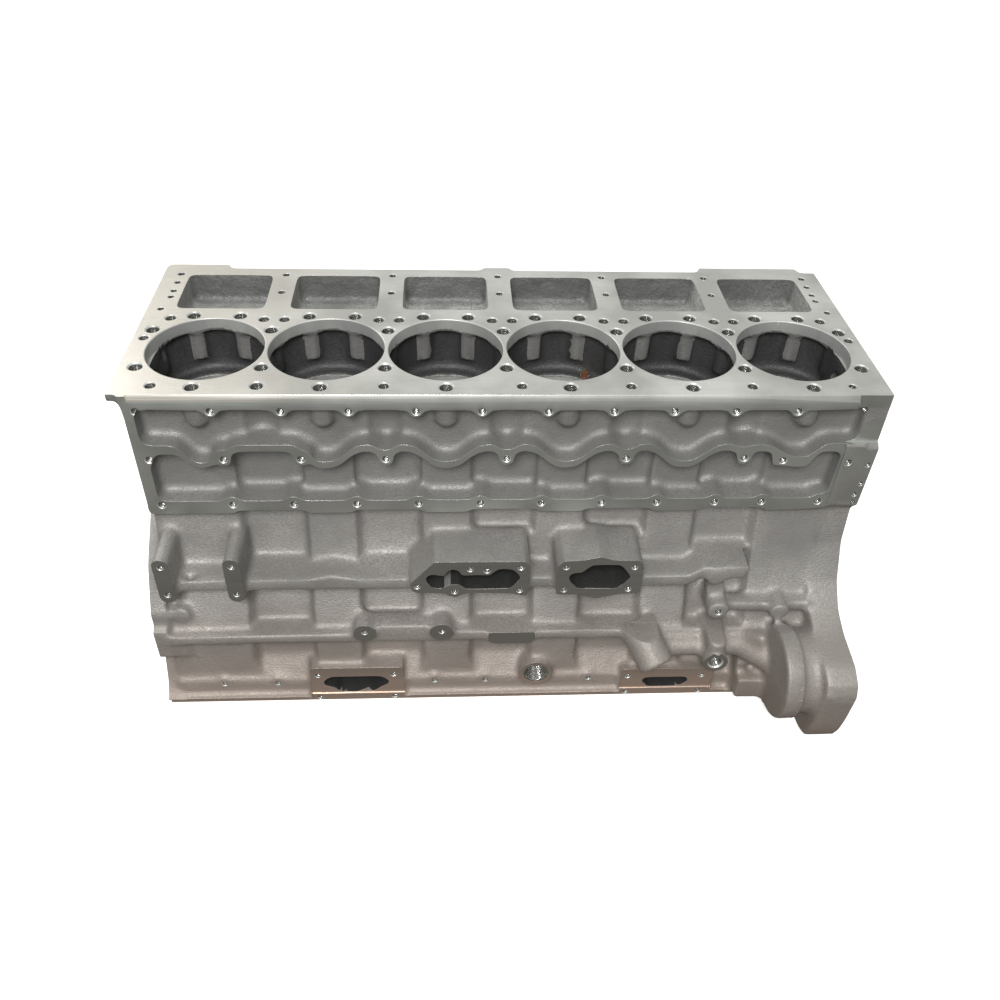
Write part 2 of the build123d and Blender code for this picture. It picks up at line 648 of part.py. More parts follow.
def upper_passage():
    """Outline of the upper passage; its foot is the waved rib's top."""
    first = BULKHEADS[1]
    last = BULKHEADS[-2]
    start = (first - 128, RIB_CREST_DEPTH + 1)
    end = (last + 124, RIB_CREST_DEPTH - 1)
    points = [start, (first - 112, start[1]), (BORE_CENTRES[0], RIB_TROUGH_DEPTH + 1)] + rib_middle(0)
    points += [(BORE_CENTRES[-1], RIB_TROUGH_DEPTH - 6), (last + 112, end[1]), end]
    corners = [end, (PASSAGE_END_X, end[1]), (PASSAGE_END_X, PASSAGE_TOP_DEPTH)]
    corners += [(-PASSAGE_END_X, PASSAGE_TOP_DEPTH), (-PASSAGE_END_X, start[1]), start]
    rest = FilletPolyline(*[on_face(*corner) for corner in corners], radius=PASSAGE_CORNER_R)
    return make_face(wave(points) + [rest])


def lower_passage():
    """Outline of the lower passage; its top is the waved rib's underside."""
    first = BULKHEADS[1]
    last = BULKHEADS[-2]
    crest = RIB_CREST_DEPTH + RIB_THICKNESS + 2
    trough = RIB_TROUGH_DEPTH + RIB_THICKNESS
    start = (first - 118, crest + 2)
    end = (last + 114, crest)
    points = [start, (first - 110, start[1]), (first - 78, trough - 2)] + rib_middle(RIB_THICKNESS)
    points += [(last + 34, crest), (last + 43, trough - 3), (last + 80, trough), (last + 104, crest), end]
    left = -PASSAGE_END_X + 4
    right = PASSAGE_END_X - 15
    foot = LOWER_PASSAGE_FOOT_DEPTH
    corners = [end, (right, end[1]), (right - 3, foot), (left, foot), (left, trough - 2)]
    corners += [(left + 9, start[1]), start]
    rest = FilletPolyline(*[on_face(*corner) for corner in corners], radius=LOWER_PASSAGE_CORNER_R)
    return make_face(wave(points) + [rest])


def passage(outline, deeper):
    """Cutter for one passage, down to its floor and further down inside the deeper shapes."""
    shallow = extrude(outline, amount=PASSAGE_DEPTH + 2, dir=(0, 1, 0))
    deep = extrude(outline, amount=PASSAGE_DEPTH + PASSAGE_STEP + 2, dir=(0, 1, 0))
    return shallow + (deep & (Part() + deeper))


def passage_bosses():
    """Bosses that stand in the upper and in the lower passage, as two lists."""
    y0 = MANIFOLD_FACE_Y - 3
    y1 = PASSAGE_FLOOR_Y + PASSAGE_STEP + 1
    foot = FACE_MIDDLE_ROW_DEPTH + FACE_MIDDLE_BOSS_WIDTH / 2
    top_row = height(FACE_TOP_ROW_DEPTH)
    middle_row = height(FACE_MIDDLE_ROW_DEPTH)
    bottom_row = height(FACE_BOTTOM_ROW_DEPTH)
    upper = [rod("Y", (x, top_row), FACE_TOP_BOSS_R, y0, y1) for x in FACE_TOP_HOLES[1:-1]]
    upper += [rod("Y", (x, middle_row), FACE_SHOULDER_BOSS_R, y0, y1) for x in FACE_MIDDLE_HOLES[1:3]]
    for x in BORE_CENTRES:
        z = height(FRONT_COLUMN_DEPTH)
        upper.append(rod("Z", (x, -HEAD_BOLT_CIRCLE_R), FRONT_COLUMN_R, z, BLOCK_HEIGHT))
        point = Cone(FRONT_COLUMN_R - FRONT_COLUMN_TAPER, FRONT_COLUMN_R, FRONT_COLUMN_TAPER)
        upper.append(Pos(x, -HEAD_BOLT_CIRCLE_R, z - FRONT_COLUMN_TAPER / 2) * point)
    width = FACE_MIDDLE_BOSS_WIDTH
    lower = [obround(x, RIB_CREST_DEPTH, foot, width, y0, y1) for x in FACE_MIDDLE_HOLES[1:]]
    lower += [rod("Y", (x, bottom_row), FACE_BOTTOM_BOSS_R, y0, y1) for x in FACE_BOTTOM_HOLES[1:]]
    return upper, lower


def passage_hollows():
    """Cutters for both passages, and for the short slot at each end of the upper one."""
    deep_y = PASSAGE_FLOOR_Y + PASSAGE_STEP
    half = PASSAGE_STEP_WIDTH / 2
    foot = height(MANIFOLD_FACE_DEPTH)
    channels = [rod("Z", (x, deep_y - CHANNEL_R), CHANNEL_R, foot, BLOCK_HEIGHT) for x in INNER_BULKHEADS]
    strips = [
        slab(x - half, x + half, MANIFOLD_FACE_Y - 2, deep_y, foot, BLOCK_HEIGHT) for x in INNER_BULKHEADS
    ]
    upper_bosses, lower_bosses = passage_bosses()
    cutters = [
        passage(upper_passage(), channels) - upper_bosses,
        passage(lower_passage(), strips) - lower_bosses,
    ]
    inner = PASSAGE_END_X - PASSAGE_CORNER_R - SLOT_LENGTH
    for start in (-inner - SLOT_LENGTH, inner):
        top = height(PASSAGE_TOP_DEPTH + 1)
        cutters.append(slab(start, start + SLOT_LENGTH, PASSAGE_FLOOR_Y - 1, PASSAGE_FLOOR_Y + SLOT_DEPTH,
                            top - SLOT_HEIGHT, top))
    return cutters


def face_end_cuts():
    """Holes and a half-round notch on the front of the right flange."""
    front = MANIFOLD_FACE_Y - 5
    start = RIGHT_FACE_X - NOTCH_LENGTH
    radius = FLANGE_FRONT_HOLE_R
    cutters = [blind_y(x, depth, radius, front, FACE_HOLE_DEPTH) for x, depth in FLANGE_FRONT_HOLES]
    cutters.append(rod("X", (front, height(NOTCH_DEPTH)), NOTCH_R, start, RIGHT_FACE_X + 1))
    return cutters


def face_holes():
    """Tapped holes of the manifold face, in three rows."""
    places = [(x, FACE_TOP_ROW_DEPTH) for x in FACE_TOP_HOLES]
    places += [(x, FACE_MIDDLE_ROW_DEPTH) for x in FACE_MIDDLE_HOLES]
    places += [(x, FACE_BOTTOM_ROW_DEPTH) for x in FACE_BOTTOM_HOLES]
    places += FACE_END_HOLES
    return [blind_y(x, depth, FACE_HOLE_R, MANIFOLD_FACE_Y, FACE_HOLE_DEPTH) for x, depth in places]


def head_bolt_places():
    """Places of the head bolts round the bores, as (x, y)."""
    places = [(x, y) for x in BULKHEADS for y in (-BOLT_SIDE_Y, BOLT_SIDE_Y)]
    for x in BORE_CENTRES:
        places.append((x, -HEAD_BOLT_CIRCLE_R))
        places += [(x + side * HEAD_BOLT_BACK_HALF, HEAD_BOLT_BACK_Y) for side in (-1, 1)]
    return places


def deck_holes():
    """Bolt, coolant and screw holes of the deck."""
    cutters = [blind_z(x, y, HEAD_BOLT_R, HEAD_BOLT_HOLE_DEPTH) for x, y in head_bolt_places()]
    for x in INNER_BULKHEADS:
        cutters += [blind_z(x + side * 13.4, 71.5, WATER_HOLE_R, WATER_HOLE_DEPTH) for side in (-1, 1)]
        cutters.append(blind_z(x, 145, COVER_SCREW_R, COVER_SCREW_DEPTH))
    for x in BULKHEADS:
        reach = 4 * (x < BULKHEADS[1]) - 4 * (x > BULKHEADS[-2])
        cutters.append(blind_z(x + reach, BACK_SCREW_Y, COVER_SCREW_R, COVER_SCREW_DEPTH))
    cutters += [blind_z(x, FRONT_SCREW_Y, radius, FRONT_SCREW_DEPTH) for x, radius in FRONT_SCREWS]
    x, y = CORNER_SCREW
    for side in (-1, 1):
        cutters.append(blind_z(side * 434, 73.5, WATER_HOLE_R, WATER_HOLE_DEPTH))
        cutters.append(blind_z(side * x, y, COVER_SCREW_R + 1, COVER_SCREW_DEPTH))
        cutters += [blind_z(side * x, y, END_SCREW_R, COVER_SCREW_DEPTH) for x, y in END_SCREWS]
    return cutters


def cylinder_hollow(x):
    """One cylinder's collar bore, coolant jacket, liner seat and lower bore."""
    seat = height(LINER_SEAT_DEPTH)
    collar_foot = height(COLLAR_BORE_DEPTH)
    jacket = rod("Z", (x, 0), JACKET_R, seat, collar_foot)
    front = PASSAGE_FLOOR_Y + PASSAGE_STEP + PASSAGE_WALL
    end = -LEFT_FACE_X - JACKET_END_WALL
    jacket = jacket & slab(-end, end, front, JACKET_R, seat, collar_foot)
    column_foot = height(HEAD_BOLT_COLUMN_DEPTH)
    jacket = jacket - [
        rod("Z", place, HEAD_BOLT_COLUMN_R, column_foot, collar_foot)
        for place in head_bolt_places()
        if abs(place[0] - x) < BORE_PITCH * 0.6
    ]
    return [
        rod("Z", (x, 0), COLLAR_BORE_R, collar_foot - 1, BLOCK_HEIGHT + 1),
        jacket,
        rod("Z", (x, 0), LINER_SEAT_R, CRANKCASE_TOP_HEIGHT - 2, seat + 1),
    ]


def window_hollow(x):
    """Opening behind one bore, with two pushrod holes down to the camshaft tunnel."""
    middle = (WINDOW_FRONT_Y + WINDOW_BACK_Y) / 2
    plan = RectangleRounded(WINDOW_WIDTH, WINDOW_BACK_Y - WINDOW_FRONT_Y, WINDOW_CORNER_R)
    pocket = Pos(x, middle, height(WINDOW_DEPTH)) * extrude(plan, amount=WINDOW_DEPTH + 1)
    holes = [
        rod("Z", (x + side * PUSHROD_SPACING / 2, CAM_AXIS_Y), PUSHROD_HOLE_R,
            CAM_AXIS_HEIGHT, height(WINDOW_DEPTH) + 1)
        for side in (-1, 1)
    ]
    return [pocket] + holes


def crankcase_bay(x):
    """Hollow between two bulkheads, open at the pan rail."""
    half = (BORE_PITCH - BULKHEAD_THICKNESS) / 2
    foot = -SKIRT_FOOT_Y - RECESS_DEPTH - WALL
    top = CRANKCASE_TOP_HEIGHT
    heights = [
        (-foot - 6, -1), (-foot, 60), (-foot, SKIRT_FOOT_HEIGHT),
        (SKIRT_WAIST_Y + RECESS_DEPTH + WALL + 4, SKIRT_WAIST_HEIGHT), (-84, top - 12), (-72, top),
        (72, top), (96, top - 20), (foot, BACK_FOOT_HEIGHT + 10), (foot + 6, -1),
    ]
    return end_prism([(y, depth_at(z)) for y, z in heights], x - half, x + half)


def main_bearing_hollows():
    """Cap seats and bearing bores through the bulkheads, and the cap bolts' holes."""
    reach = HALF_DECK + 5
    seat = slab(-reach, reach, -CAP_WIDTH / 2, CAP_WIDTH / 2, -1, CRANK_AXIS_Z)
    bore = rod("X", (0, CRANK_AXIS_Z), MAIN_BORE_R, -reach, reach)
    bolts = [
        rod("Z", (x, y), CAP_BOLT_R + BOLT_CLEARANCE, CRANK_AXIS_Z - 1, CRANK_AXIS_Z + CAP_BOLT_REACH)
        for x, y in cap_bolt_places()
    ]
    return [seat, bore] + bolts


def cap_bolt_places():
    """Two bolts for each main bearing cap, as (x, y)."""
    return [(x, side * CAP_BOLT_SPACING / 2) for x in BULKHEADS for side in (-1, 1)]


def cam_tunnel():
    """Camshaft tunnel through every bulkhead."""
    return [rod("X", (CAM_AXIS_Y, CAM_AXIS_HEIGHT), CAM_BORE_R, -HALF_DECK - 1, HALF_DECK + 1)]


def front_hollows():
    """Mouths, tapped holes and bores on the front of the skirt."""
    back = RAIL_LIP_Y + DRAIN_HOLE_DEPTH
    cutters = [
        front_prism(HOUSING_A_MOUTH, COVER_FACE_Y - 2, COVER_FACE_Y + HOUSING_DEPTH),
        front_prism(HOUSING_B_MOUTH, COVER_FACE_Y - 2, COVER_FACE_Y + HOUSING_DEPTH),
        low_mouth(*LOW_SEAT_A),
        low_mouth(*LOW_SEAT_B),
        rod("Y", (DRAIN_BOSS_X, DRAIN_BOSS_HEIGHT), DRAIN_HOLE_R, RAIL_LIP_Y - 2, back),
    ]
    first = BRACKET_PAD_TOP_DEPTH + (BRACKET_PAD_HEIGHT - BRACKET_HOLE_SPACING) / 2
    spots = [(x, depth, COVER_FACE_Y) for x, depth in HOUSING_A_HOLES + HOUSING_B_HOLES]
    spots += [(x, depth_at(SIDE_HOLE_HEIGHT), RAIL_Y) for x in SIDE_HOLES_X]
    spots += [(x, first, BRACKET_PAD_Y) for x in BRACKET_PADS_X]
    spots += [(x, first + BRACKET_HOLE_SPACING, BRACKET_PAD_Y) for x in BRACKET_PADS_X]
    spots += [(x, depth_at(LOWER_RIB_TOP + 5), RIB_BOSS_Y) for x in RIB_BOSSES_X]
    cutters += [blind_y(x, depth, COVER_HOLE_R, face_y, COVER_HOLE_DEPTH) for x, depth, face_y in spots]
    cutters += low_seat_holes(*LOW_SEAT_A) + low_seat_holes(*LOW_SEAT_B)
    depth = depth_at(PIPE_HEIGHT)
    cutters.append(blind_y(PUMP_BOSS_X, depth, PUMP_BOSS_HOLE_R, PUMP_BOSS_Y, PUMP_BOSS_HOLE_DEPTH))
    cutters.append(blind_y(297, 318, COVER_HOLE_R + 1, BRACKET_PAD_Y - 1, COVER_HOLE_DEPTH))
    pocket_end = BRACKET_WALL_Y + COVER_HOLE_DEPTH
    cutters.append(rod("Y", BRACKET_POCKET, BRACKET_POCKET_R, BRACKET_Y - 1, pocket_end))
    x0, x1, y0, y1 = RIB_POCKET
    rib_top = height(UPPER_RIB_DEPTH)
    cutters.append(slab(x0, x1, y0, y1, rib_top - RIB_POCKET_DEPTH, rib_top + 1))
    return cutters


def stub_bore():
    """Bore of the oblique stub."""
    mouth = Vector(*STUB_MOUTH)
    along = mouth - Vector(*STUB_ROOT)
    depth = along.length * 0.55
    return Plane(origin=mouth, z_dir=along) * Pos(0, 0, -depth / 2 + 1) * Cylinder(STUB_BORE_R, depth + 2)


def pan_rail_holes():
    """Tapped holes of the pan rail, in one row along each side."""
    count = int((2 * HALF_DECK - 2 * RAIL_END_MARGIN) // RAIL_HOLE_PITCH)
    start = -count * RAIL_HOLE_PITCH / 2
    cutters = []
    for i in range(count + 1):
        for y in (-RAIL_HOLE_Y, RAIL_HOLE_Y):
            cutters.append(rod("Z", (start + i * RAIL_HOLE_PITCH, y), RAIL_HOLE_R, -1, RAIL_HOLE_DEPTH))
    return cutters


def end_hollows():
    """Core plug holes, gallery ends and dowel holes."""
    z = height(CORE_PLUG_DEPTH)
    inside = -LEFT_FACE_X - JACKET_END_WALL - 1
    cutters = [
        rod("X", (0, z), CORE_PLUG_R, LEFT_FACE_X - 1, -inside),
        rod("X", (0, z), CORE_PLUG_R, inside, RIGHT_FACE_X + 1),
    ]
    for x in INNER_BULKHEADS:
        cutters.append(rod("Y", (x, GALLERY_HEIGHT), GALLERY_PLUG_R,
                           GALLERY_PLUG_FACE_Y - GALLERY_PLUG_LENGTH, GALLERY_PLUG_FACE_Y + 1))
    for x0, x1 in dowel_spans():
        for y, z in DOWEL_PLACES:
            cutters.append(rod("X", (y, z), DOWEL_R, x0, x1))
    return cutters


def dowel_spans():
    """Start and end of the dowels along X, at each end of the block."""
    half = DOWEL_LENGTH / 2
    return [(-HALF_DECK - half, -HALF_DECK + half), (HALF_DECK - half, HALF_DECK + half)]


def jacket_plug_place():
    """Place of the copper plug on the fourth cylinder's liner seat."""
    ring_r = (LINER_SEAT_R + JACKET_R) / 2
    angle = math.radians(JACKET_PLUG_ANGLE)
    return (BORE_CENTRES[3] + ring_r * math.cos(angle), ring_r * math.sin(angle))


def chamfer_cut():
    """Long chamfer between the deck and the manifold face."""
    end = HALF_DECK - 23
    foot = CHAMFER_DEPTH + 1
    outline = [(DECK_FRONT_Y + 0.5, -1), (MANIFOLD_FACE_Y - 0.5, foot), (MANIFOLD_FACE_Y - 1, -1)]
    return [end_prism(outline, -end, end)]


def block_casting():
    """The machined casting."""
    body = outside_solid()
    body = body - [cutter for x in BORE_CENTRES for cutter in window_hollow(x)]
    body = body - [crankcase_bay(x) for x in BORE_CENTRES]
    body = body - [cutter for x in BORE_CENTRES for cutter in cylinder_hollow(x)]
    body = body - passage_hollows()
    holes = face_holes() + face_end_cuts() + deck_holes() + front_hollows() + pan_rail_holes() + end_hollows()
    body = body - (holes + [stub_bore(), jacket_plug_hole()])
    return body - (main_bearing_hollows() + cam_tunnel() + chamfer_cut())


def jacket_plug_hole():
    """Seat of the copper plug in the fourth cylinder's liner seat."""
    seat = height(LINER_SEAT_DEPTH)
    return rod("Z", jacket_plug_place(), JACKET_PLUG_R, seat - JACKET_PLUG_LENGTH / 2, seat + 1)


def main_cap(x):
    """One main bearing cap, with bolt shoulders and half the bearing bore."""
    half = CAP_WIDTH / 2
    shoulder = half - CAP_SHOULDER_WIDTH
    foot = CAP_FOOT_WIDTH / 2
    heights = [
        (-half, CRANK_AXIS_Z), (-half, CAP_SHOULDER_Z), (-shoulder, CAP_SHOULDER_Z), (-foot, CAP_FOOT_Z),
        (foot, CAP_FOOT_Z), (shoulder, CAP_SHOULDER_Z), (half, CAP_SHOULDER_Z), (half, CRANK_AXIS_Z),
    ]
    w = BULKHEAD_THICKNESS / 2
    cap = end_prism([(y, depth_at(z)) for y, z in heights], x - w, x + w)
    cutters = [rod("X", (0, CRANK_AXIS_Z), MAIN_BORE_R, x - w - 1, x + w + 1)]
    for side in (-1, 1):
        place = (x, side * CAP_BOLT_SPACING / 2)
        cutters.append(rod("Z", place, CAP_BOLT_R + BOLT_CLEARANCE, 0, CRANK_AXIS_Z + 1))
    return cap - cutters


def cap_bolt(x, y):
    """One hexagon-headed cap bolt, its head under the cap's shoulder."""
    head = Pos(x, y, CAP_SHOULDER_Z - CAP_BOLT_HEAD_HEIGHT) * extrude(
        RegularPolygon(CAP_BOLT_HEAD_R, 6), amount=CAP_BOLT_HEAD_HEIGHT)
    shank = rod("Z", (x, y), CAP_BOLT_R, CAP_SHOULDER_Z - 1, CRANK_AXIS_Z + CAP_BOLT_REACH - 4)
    return head + shank


def cam_bushing(x):
    """One camshaft bushing, pressed in its bulkhead."""
    axis = (CAM_AXIS_Y, CAM_AXIS_HEIGHT)
    half = CAM_BUSHING_LENGTH / 2
    outer = rod("X", axis, CAM_BORE_R - PRESS_CLEARANCE, x - half, x + half)
    return outer - rod("X", axis, CAM_BORE_R - CAM_BUSHING_WALL, x - half - 1, x + half + 1)


def cup_plug(y, z, radius, outer_x, inner_x):
    """Sheet cup plug: a flat disc at inner_x with a rim out to outer_x."""
    outward = math.copysign(1, outer_x - inner_x)
    cup = rod("X", (y, z), radius - PRESS_CLEARANCE, inner_x, outer_x)
    floor_x = inner_x + outward * CORE_PLUG_WALL
    hollow = rod("X", (y, z), radius - CORE_PLUG_WALL, floor_x, outer_x + outward)
    return cup - hollow


def core_plugs():
    """Cup plugs of the two end walls."""
    z = height(CORE_PLUG_DEPTH)
    return [
        cup_plug(0, z, CORE_PLUG_R, LEFT_FACE_X, LEFT_FACE_X + CORE_PLUG_THICKNESS),
        cup_plug(0, z, CORE_PLUG_R, RIGHT_FACE_X, RIGHT_FACE_X - CORE_PLUG_THICKNESS),
    ]


def cam_end_plug():
    """Cup plug that closes the camshaft tunnel at the left end."""
    inner = -HALF_DECK + CORE_PLUG_THICKNESS - 3
    return cup_plug(CAM_AXIS_Y, CAM_AXIS_HEIGHT, CAM_BORE_R, -HALF_DECK, inner)


def gallery_plugs():
    """Threaded plugs of the oil gallery's cross holes, each with a hexagon socket."""
    plugs = []
    for x in INNER_BULKHEADS:
        start = GALLERY_PLUG_FACE_Y - GALLERY_PLUG_LENGTH
        place = (x, GALLERY_HEIGHT)
        body = rod("Y", place, GALLERY_PLUG_R - PRESS_CLEARANCE, start, GALLERY_PLUG_FACE_Y)
        socket = Plane(origin=(x, GALLERY_PLUG_FACE_Y + 1, GALLERY_HEIGHT), z_dir=(0, -1, 0))
        plugs.append(body - extrude(socket * RegularPolygon(5, 6), amount=7))
    return plugs


def dowels():
    """Locating dowels of the housings at both ends."""
    return [
        rod("X", place, DOWEL_R - PRESS_CLEARANCE, x0, x1)
        for x0, x1 in dowel_spans()
        for place in DOWEL_PLACES
    ]


def jacket_plug():
    """Small copper-coloured plug on the fourth cylinder's liner seat."""
    seat = height(LINER_SEAT_DEPTH)
    half = JACKET_PLUG_LENGTH / 2
    return rod("Z", jacket_plug_place(), JACKET_PLUG_R - PRESS_CLEARANCE, seat - half, seat + half)


def save(name, shape):
    """Write one node."""
    export_step(shape, f"parts/{name}.step")


def main():
    """Build and write every node."""
    os.makedirs("parts", exist_ok=True)
    save("block_casting", block_casting())
    for number, x in enumerate(BULKHEADS, start=1):
        save(f"main_cap_{number}", main_cap(x))
        save(f"cam_bushing_{number}", cam_bushing(x))
    save("main_cap_bolts", Compound([cap_bolt(x, y) for x, y in cap_bolt_places()]))
    save("core_plugs", Compound(core_plugs()))
    save("cam_end_plug", cam_end_plug())
    save("gallery_plugs", Compound(gallery_plugs()))
    save("end_dowels", Compound(dowels()))
    save("jacket_plug", jacket_plug())


main()
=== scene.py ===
"""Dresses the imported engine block: its cast skin, machined faces, drilled holes and finishes.

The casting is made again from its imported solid. Stock is added where a cutter will pass, and the inner
corners get the fillets of a sand casting. Then face cutters, boring bars and drills take metal away.
"""

import logging
import math
from dataclasses import dataclass, field
from enum import Enum

import bmesh
import bpy
import numpy as np
import openvdb
from mathutils import Matrix, Vector


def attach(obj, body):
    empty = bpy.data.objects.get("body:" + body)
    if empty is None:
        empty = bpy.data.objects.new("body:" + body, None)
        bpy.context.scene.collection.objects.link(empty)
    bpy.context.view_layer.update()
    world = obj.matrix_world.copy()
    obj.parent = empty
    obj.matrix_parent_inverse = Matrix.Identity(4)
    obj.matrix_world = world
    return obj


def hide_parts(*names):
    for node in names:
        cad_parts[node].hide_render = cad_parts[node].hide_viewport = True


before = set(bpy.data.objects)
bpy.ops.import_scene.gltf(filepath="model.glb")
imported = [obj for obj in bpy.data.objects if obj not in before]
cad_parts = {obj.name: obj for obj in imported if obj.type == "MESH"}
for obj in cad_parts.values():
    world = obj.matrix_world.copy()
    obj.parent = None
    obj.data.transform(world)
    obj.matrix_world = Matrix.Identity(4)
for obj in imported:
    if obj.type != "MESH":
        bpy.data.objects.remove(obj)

LOG = logging.getLogger("engine_block")
MM = 0.001
STEPS_IN_MM = 1000
ROOT = "root"
Colour = tuple[float, float, float, float]
Points = np.ndarray


class Axis(Enum):
    """Directions that the cutters and drills work along."""

    X = 0
    Y = 1
    Z = 2

    @property
    def others(self) -> list[int]:
        """Numbers of the other two axes."""
        return [n for n in range(3) if n != self.value]


class Finish(Enum):
    """Finishes of the casting, by their materials' names."""

    CAST = "sand_cast_skin"
    # The jacket's material is painted shade: near-black colours for the deep jacket and the mouths of the
    # hollows.
    JACKET = "coolant_jacket_skin"
    CHAMBER = "cored_chamber_skin"
    DECK = "milled_deck"
    FACE = "machined_face"
    BORE = "bored_wall"
    TAPPED_X = "tapped_hole_x"
    TAPPED_Y = "tapped_hole_y"
    TAPPED_Z = "tapped_hole_z"


class Setting(Enum):
    """Settings of the milling work, in order; the cutters of one setting don't meet."""

    LEVEL = 0
    ENDS = 1
    SIDES = 2
    STEPS = 3


class Tool(Enum):
    """Tools that the pattern of small holes can carry."""

    DRILL = "drills"
    COUNTERSINK = "countersinks"


TAPPED = {Axis.X: Finish.TAPPED_X, Axis.Y: Finish.TAPPED_Y, Axis.Z: Finish.TAPPED_Z}
SKINS = (Finish.CAST, Finish.JACKET, Finish.CHAMBER)
Finishes = dict[Finish, bpy.types.Material]


class Graph:
    """A material's node tree, with short calls that add and link its nodes."""

    def __init__(self, name: str) -> None:
        """Start a material with one principled shader.

        Args:
            name: Name of the material.
        """
        self.material = bpy.data.materials.new(name)
        self.material.use_nodes = True
        self.tree = self.material.node_tree
        self.shader = self.tree.nodes["Principled BSDF"]
        self.place = self.tree.nodes.new("ShaderNodeTexCoord").outputs["Object"]

    def link(self, source: bpy.types.NodeSocket, target: bpy.types.NodeSocket) -> None:
        """Link one socket to another."""
        self.tree.links.new(source, target)

    def scaled(self, scale: tuple[float, float, float]) -> bpy.types.NodeSocket:
        """Stretch the object coordinates.

        Args:
            scale: How many times finer a pattern gets along X, Y and Z.

        Returns:
            The stretched coordinates.
        """
        node = self.tree.nodes.new("ShaderNodeMapping")
        node.inputs["Scale"].default_value = scale
        self.link(self.place, node.inputs["Vector"])
        return node.outputs["Vector"]

    def noise(
        self, scale: float, detail: float = 3.0, vector: bpy.types.NodeSocket | None = None
    ) -> bpy.types.NodeSocket:
        """Add a noise pattern.

        Args:
            scale: Cells in a metre.
            detail: Octaves of finer noise.
            vector: Coordinates, or the object's own.

        Returns:
            The noise, about 0 to 1.
        """
        node = self.tree.nodes.new("ShaderNodeTexNoise")
        node.inputs["Scale"].default_value = scale
        node.inputs["Detail"].default_value = detail
        self.link(vector or self.place, node.inputs["Vector"])
        return node.outputs["Fac"]

    def bands(self, axis: Axis, scale: float) -> bpy.types.NodeSocket:
        """Add straight ridges across an axis.

        Args:
            axis: The axis that the ridges follow one another along.
            scale: Scale of the wave pattern.

        Returns:
            The ridges' height, 0 to 1.
        """
        node = self.tree.nodes.new("ShaderNodeTexWave")
        node.bands_direction = axis.name
        node.inputs["Scale"].default_value = scale
        self.link(self.place, node.inputs["Vector"])
        return node.outputs["Fac"]

    def spread(
        self, value: bpy.types.NodeSocket, low: float, high: float, start: float = 0.0, end: float = 1.0
    ) -> bpy.types.NodeSocket:
        """Map a range of a value to another, and clamp it.

        Args:
            value: The value to map.
            low: Value that becomes start.
            high: Value that becomes end.
            start: First output.
            end: Last output.

        Returns:
            The mapped value.
        """
        node = self.tree.nodes.new("ShaderNodeMapRange")
        for name, number in zip(("From Min", "From Max", "To Min", "To Max"), (low, high, start, end)):
            node.inputs[name].default_value = number
        self.link(value, node.inputs["Value"])
        return node.outputs["Result"]

    def along(self, axis: Axis) -> bpy.types.NodeSocket:
        """Give the place along an axis, in metres."""
        node = self.tree.nodes.new("ShaderNodeSeparateXYZ")
        self.link(self.place, node.inputs["Vector"])
        return node.outputs[axis.name]

    def eased_edges(self, radius: float) -> bpy.types.NodeSocket:
        """Round the light on sharp edges, as a deburred edge does.

        Args:
            radius: Width of the rounding, in metres.

        Returns:
            The normal.
        """
        node = self.tree.nodes.new("ShaderNodeBevel")
        node.samples = 4
        node.inputs["Radius"].default_value = radius
        return node.outputs["Normal"]

    def mix(
        self, share: bpy.types.NodeSocket, first: Colour | bpy.types.NodeSocket, second: Colour
    ) -> bpy.types.NodeSocket:
        """Mix two colours.

        Args:
            share: Share of the second colour.
            first: First colour, or the socket that gives it.
            second: Second colour.

        Returns:
            The mixed colour.
        """
        node = self.tree.nodes.new("ShaderNodeMix")
        node.data_type = "RGBA"
        self.link(share, node.inputs["Factor"])
        if isinstance(first, bpy.types.NodeSocket):
            self.link(first, node.inputs["A"])
        else:
            node.inputs["A"].default_value = first
        node.inputs["B"].default_value = second
        return node.outputs["Result"]

    def bump(
        self,
        height: bpy.types.NodeSocket,
        distance: float,
        strength: float,
        under: bpy.types.NodeSocket | None = None,
    ) -> bpy.types.NodeSocket:
        """Add relief to the normal.

        Args:
            height: Relief, 0 to 1.
            distance: Depth of the relief, in metres.
            strength: How much of it shows.
            under: Relief that this one lies on.

        Returns:
            The changed normal.
        """
        node = self.tree.nodes.new("ShaderNodeBump")
        node.inputs["Distance"].default_value = distance
        node.inputs["Strength"].default_value = strength
        self.link(height, node.inputs["Height"])
        if under is not None:
            self.link(under, node.inputs["Normal"])
        return node.outputs["Normal"]

    def dress(
        self,
        colour: bpy.types.NodeSocket,
        roughness: bpy.types.NodeSocket,
        normal: bpy.types.NodeSocket,
        metallic: float,
    ) -> bpy.types.Material:
        """Link the patterns to the shader.

        Args:
            colour: Base colour.
            roughness: Roughness.
            normal: Normal.
            metallic: Share of bare metal.

        Returns:
            The finished material.
        """
        self.link(colour, self.shader.inputs["Base Color"])
        self.link(roughness, self.shader.inputs["Roughness"])
        self.link(normal, self.shader.inputs["Normal"])
        self.shader.inputs["Metallic"].default_value = metallic
        return self.material


@dataclass(frozen=True)
class Tint:
    """A second tone that a finish takes towards one end of the block; here most tints paint shade,
    reflection and floor bounce.

    Attributes:
        axis: Axis that the tone changes along.
        reach: Where it starts and where it is full, in metres.
        colour: The tone.
        share: Its share where it is full.
    """

    axis: Axis
    reach: tuple[float, float]
    colour: Colour
    share: float = 0.7

    def over(self, graph: Graph, colour: bpy.types.NodeSocket) -> bpy.types.NodeSocket:
        """Lay the tone over a colour."""
        share = graph.spread(graph.along(self.axis), *self.reach, 0.0, self.share)
        return graph.mix(share, colour, self.colour)


